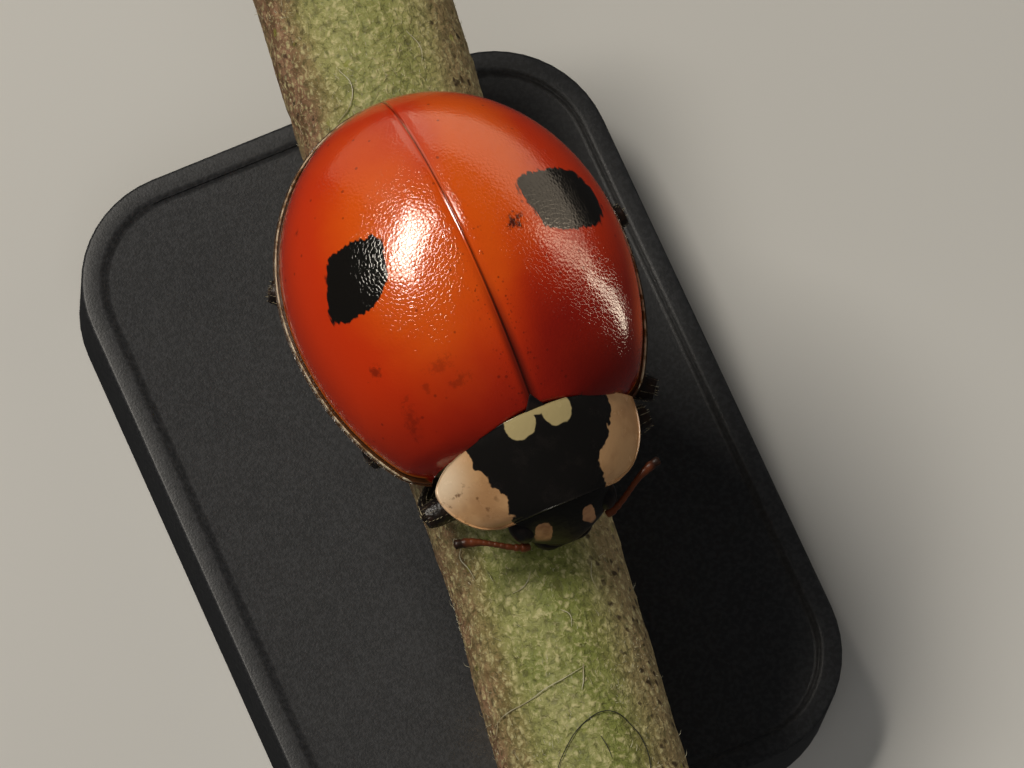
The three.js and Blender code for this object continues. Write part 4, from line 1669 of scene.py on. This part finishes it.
def stem_finish():
    material, place = started("stem_skin", STEM_PLACE, STEM_TURN, 1)
    flank, cloud = stem_flank(place)
    rough = place.warped(10.0, 0.1)
    scurf = (rough * (1.0, 0.8, 1.0)).cells(13.0)
    crumbs = rough.grain(15.0, 3.0, 0.7)
    patchy = place.grain(4.5, 4.0, 0.65)
    colour = stem_ground(place, flank, cloud)
    colour = blend(colour, CHINK_GREEN, crumbs.fade(0.47, 0.33) * 0.6)
    pale = (scurf.fade(0.45, 0.15) * patchy.fade(0.4, 0.58) * 0.7).most(crumbs.fade(0.53, 0.66) * 0.6)
    colour = blend(colour, CELL_PALE, pale)
    colour = blend(colour, CELL_SHADE, scurf.fade(0.6, 0.9) * 0.45)
    colour = blend(colour, LIME, rough.cells(2.6).fade(0.14, 0.05) * 0.6)
    colour = cut_ends(dusted(colour, place, rough, flank), place)
    normal = bumped((crumbs, 0.03), (scurf, -0.016))
    return lacquered(material, colour, 0.36 + 0.3 * patchy, normal, Specular_IOR_Level=0.35)


dress(stem_finish(), "stem_length")

# %% The finishes of fuzz and fibres


def fuzz_finish():
    material, place = started("fuzz_pale", STEM_PLACE, STEM_TURN, 1)
    colour = blend((0.60, 0.56, 0.40), (0.42, 0.36, 0.22), place.grain(3.0).fade(0.4, 0.65))
    return lacquered(material, colour, 0.35 + 0.1 * place.grain(20.0))


def dark_fibre_finish():
    material, place = started("fibre_dark", STEM_PLACE, STEM_TURN, 1)
    colour = blend((0.02, 0.022, 0.02), (0.05, 0.05, 0.04), place.grain(3.0).fade(0.4, 0.65))
    return lacquered(material, colour, 0.4 + 0.1 * place.grain(20.0))


dress(fuzz_finish(), "stem_fuzz", "stem_fibres")
dress(dark_fibre_finish(), "dark_fibres")

# %% [markdown]
# The stand stays quiet, so that the eye goes to the beetle: a satin charcoal base with a fine
# grain, and brushed brass whose scratches run round the rods.

# %% The stand's finishes


def base_finish():
    material, place = started("base_charcoal", Vector(), 0.0, 1)
    fleck = place.grain(22.0, 3.0)
    broad = place.grain(1.2, 3.0)
    colour = blend((0.020, 0.021, 0.023), (0.034, 0.035, 0.038), fleck.fade(0.4, 0.65))
    normal = bumped((place.grain(40.0, 2.0), 0.0025))
    return lacquered(material, colour, 0.36 + 0.14 * broad, normal)


def brass_finish():
    material, place = started("rod_brass", Vector(), 0.0, 1)
    turned = (place * (1.0, 1.0, 14.0)).grain(3.0, 3.0)
    colour = blend((0.70, 0.47, 0.18), (0.55, 0.34, 0.12), turned.fade(0.35, 0.65))
    return lacquered(material, colour, 0.22 + 0.16 * turned, bumped((turned, 0.003)), Metallic=1.0)


dress(base_finish(), "display_base")
dress(brass_finish(), "brass_rod_front", "brass_rod_back")

# %% [markdown]
# ## Floor and light
#
# The floor is a plain pale sheet with hardly a cloud in it, so that nothing draws the eye away.

# %% The floor


def floor_finish():
    material, place = started("floor_pale", Vector(), 0.0, 1)
    tone = blend((0.66, 0.65, 0.62), (0.70, 0.69, 0.66), place.grain(0.05, 2.0).fade(0.4, 0.6))
    return lacquered(material, tone, 0.75)


bpy.ops.object.select_all(action="DESELECT")
bpy.ops.mesh.primitive_plane_add(size=2.0)
floor = named("pale_floor")
dress(floor_finish(), "pale_floor")

# %% [markdown]
# Each light is a flat panel that faces the beetle. A panel's power is worked out from how bright
# its face should look, because at this size a plain wattage means little. On something as glossy
# as a wing case, a highlight is the mirror image of a lamp, so a highlight's place, outline and
# edge are set by the panel's own place, size and shape.

# %% A panel of light


def panel(name, side, height, distance, size, brightness, tint=(1, 1, 1), roll=0.0, shape="RECTANGLE"):
    """side is degrees from ahead round to the beetle's left, and sizes are in millimetres."""
    turn, lift = math.radians(side), math.radians(height)
    way = Vector((math.sin(turn) * math.cos(lift), -math.cos(turn) * math.cos(lift), math.sin(lift)))
    bpy.ops.object.light_add(type="AREA", location=(WIDEST + at(0, 0, 1) + way * distance) * MM)
    lamp = bpy.context.object
    lamp.name = lamp.data.name = name
    facing = way.to_track_quat("Z", "Y") @ Quaternion((0, 0, 1), math.radians(roll))
    lamp.rotation_euler = facing.to_euler()
    lamp.data.shape = shape
    lamp.data.size = size[0] * MM
    lamp.data.size_y = size[1] * MM
    lamp.data.energy = brightness * math.pi * size[0] * size[1] * MM ** 2
    lamp.data.color = tint
    lamp.visible_camera = False
    print(f"{name}: {size[0]} by {size[1]} mm, {lamp.data.energy:.5f} W")
    return lamp


# %% [markdown]
# The soft box stands high behind the beetle's right side and lights the whole scene. The shine
# panel, in front of it and wider, widens the round highlight that it makes on the beetle's back.
# A slim panel close by on the left draws the bright streak on the far wing case, and a broader,
# dimmer one gives the streak its tail. Two large faint panels behind put a sheen on the lacquer.
# Two fills, wide and weak, lift the shadows.

# %% The lights
panel("soft_box", -140, 56, 70, (34, 15), 22.0, (1, 0.94, 0.84))
shine = panel("shine_panel", -141, 57, 69, (46, 18), 15.0, (1, 0.92, 0.76))
streak = panel("streak_panel", 79, -4, 12.1, (1.15, 8.4), 8.0, (1, 0.84, 0.64), -14, "ELLIPSE")
tail = panel("tail_panel", 92, 22, 14.6, (2.4, 9.5), 3.6, (1, 0.8, 0.56), -27, "ELLIPSE")
sheen = panel("low_panel", 132, 16, 42, (76, 27), 1.5, (1, 0.83, 0.63), -15)
afterglow = panel("back_panel", 185, 13, 42, (34, 44), 0.6, (1, 0.84, 0.6))
fill = panel("fill_panel", -40, 60, 120, (90, 90), 0.7)
side_fill = panel("side_fill_panel", 90, 10, 60, (50, 30), 1.1, (1, 0.93, 0.82))

# %% [markdown]
# Some of these are there only to be seen in the lacquer. They are kept out of diffuse light,
# where they would leave bright pools on the floor, and light linking lets them reach only the
# glossy shell. The fills, the floor and the base are kept out of reflections, so that the glossy
# sides mirror a dim room and keep their deep colour. The room itself is a very weak even glow.

# %% What each light does
ROOM_GLOW = 0.03
only_in_lacquer = (shine, streak, tail, sheen, afterglow)
shell = bpy.data.collections.new("shell")
for name in ("wing_case_left", "wing_case_right"):
    shell.objects.link(bpy.data.objects[name])
for lamp in only_in_lacquer:
    lamp.visible_diffuse = False
    lamp.light_linking.receiver_collection = shell
for unseen in (fill, side_fill, floor, bpy.data.objects["display_base"]):
    unseen.visible_glossy = False

world = bpy.data.worlds.new("soft_surround")
world.use_nodes = True
surround = world.node_tree.nodes["Background"].inputs
surround["Color"].default_value = (1, 1, 1, 1)
surround["Strength"].default_value = ROOM_GLOW
bpy.context.scene.world = world
bpy.context.scene.view_settings.view_transform = "Standard"
print("lights seen only in the lacquer:", ", ".join(lamp.name for lamp in only_in_lacquer))

# %% [markdown]
# Last, a count of the pieces and their faces.

# %% The count, and the end
print("pieces:", len(pieces), "faces:", sum(len(piece.data.polygons) for piece in pieces))
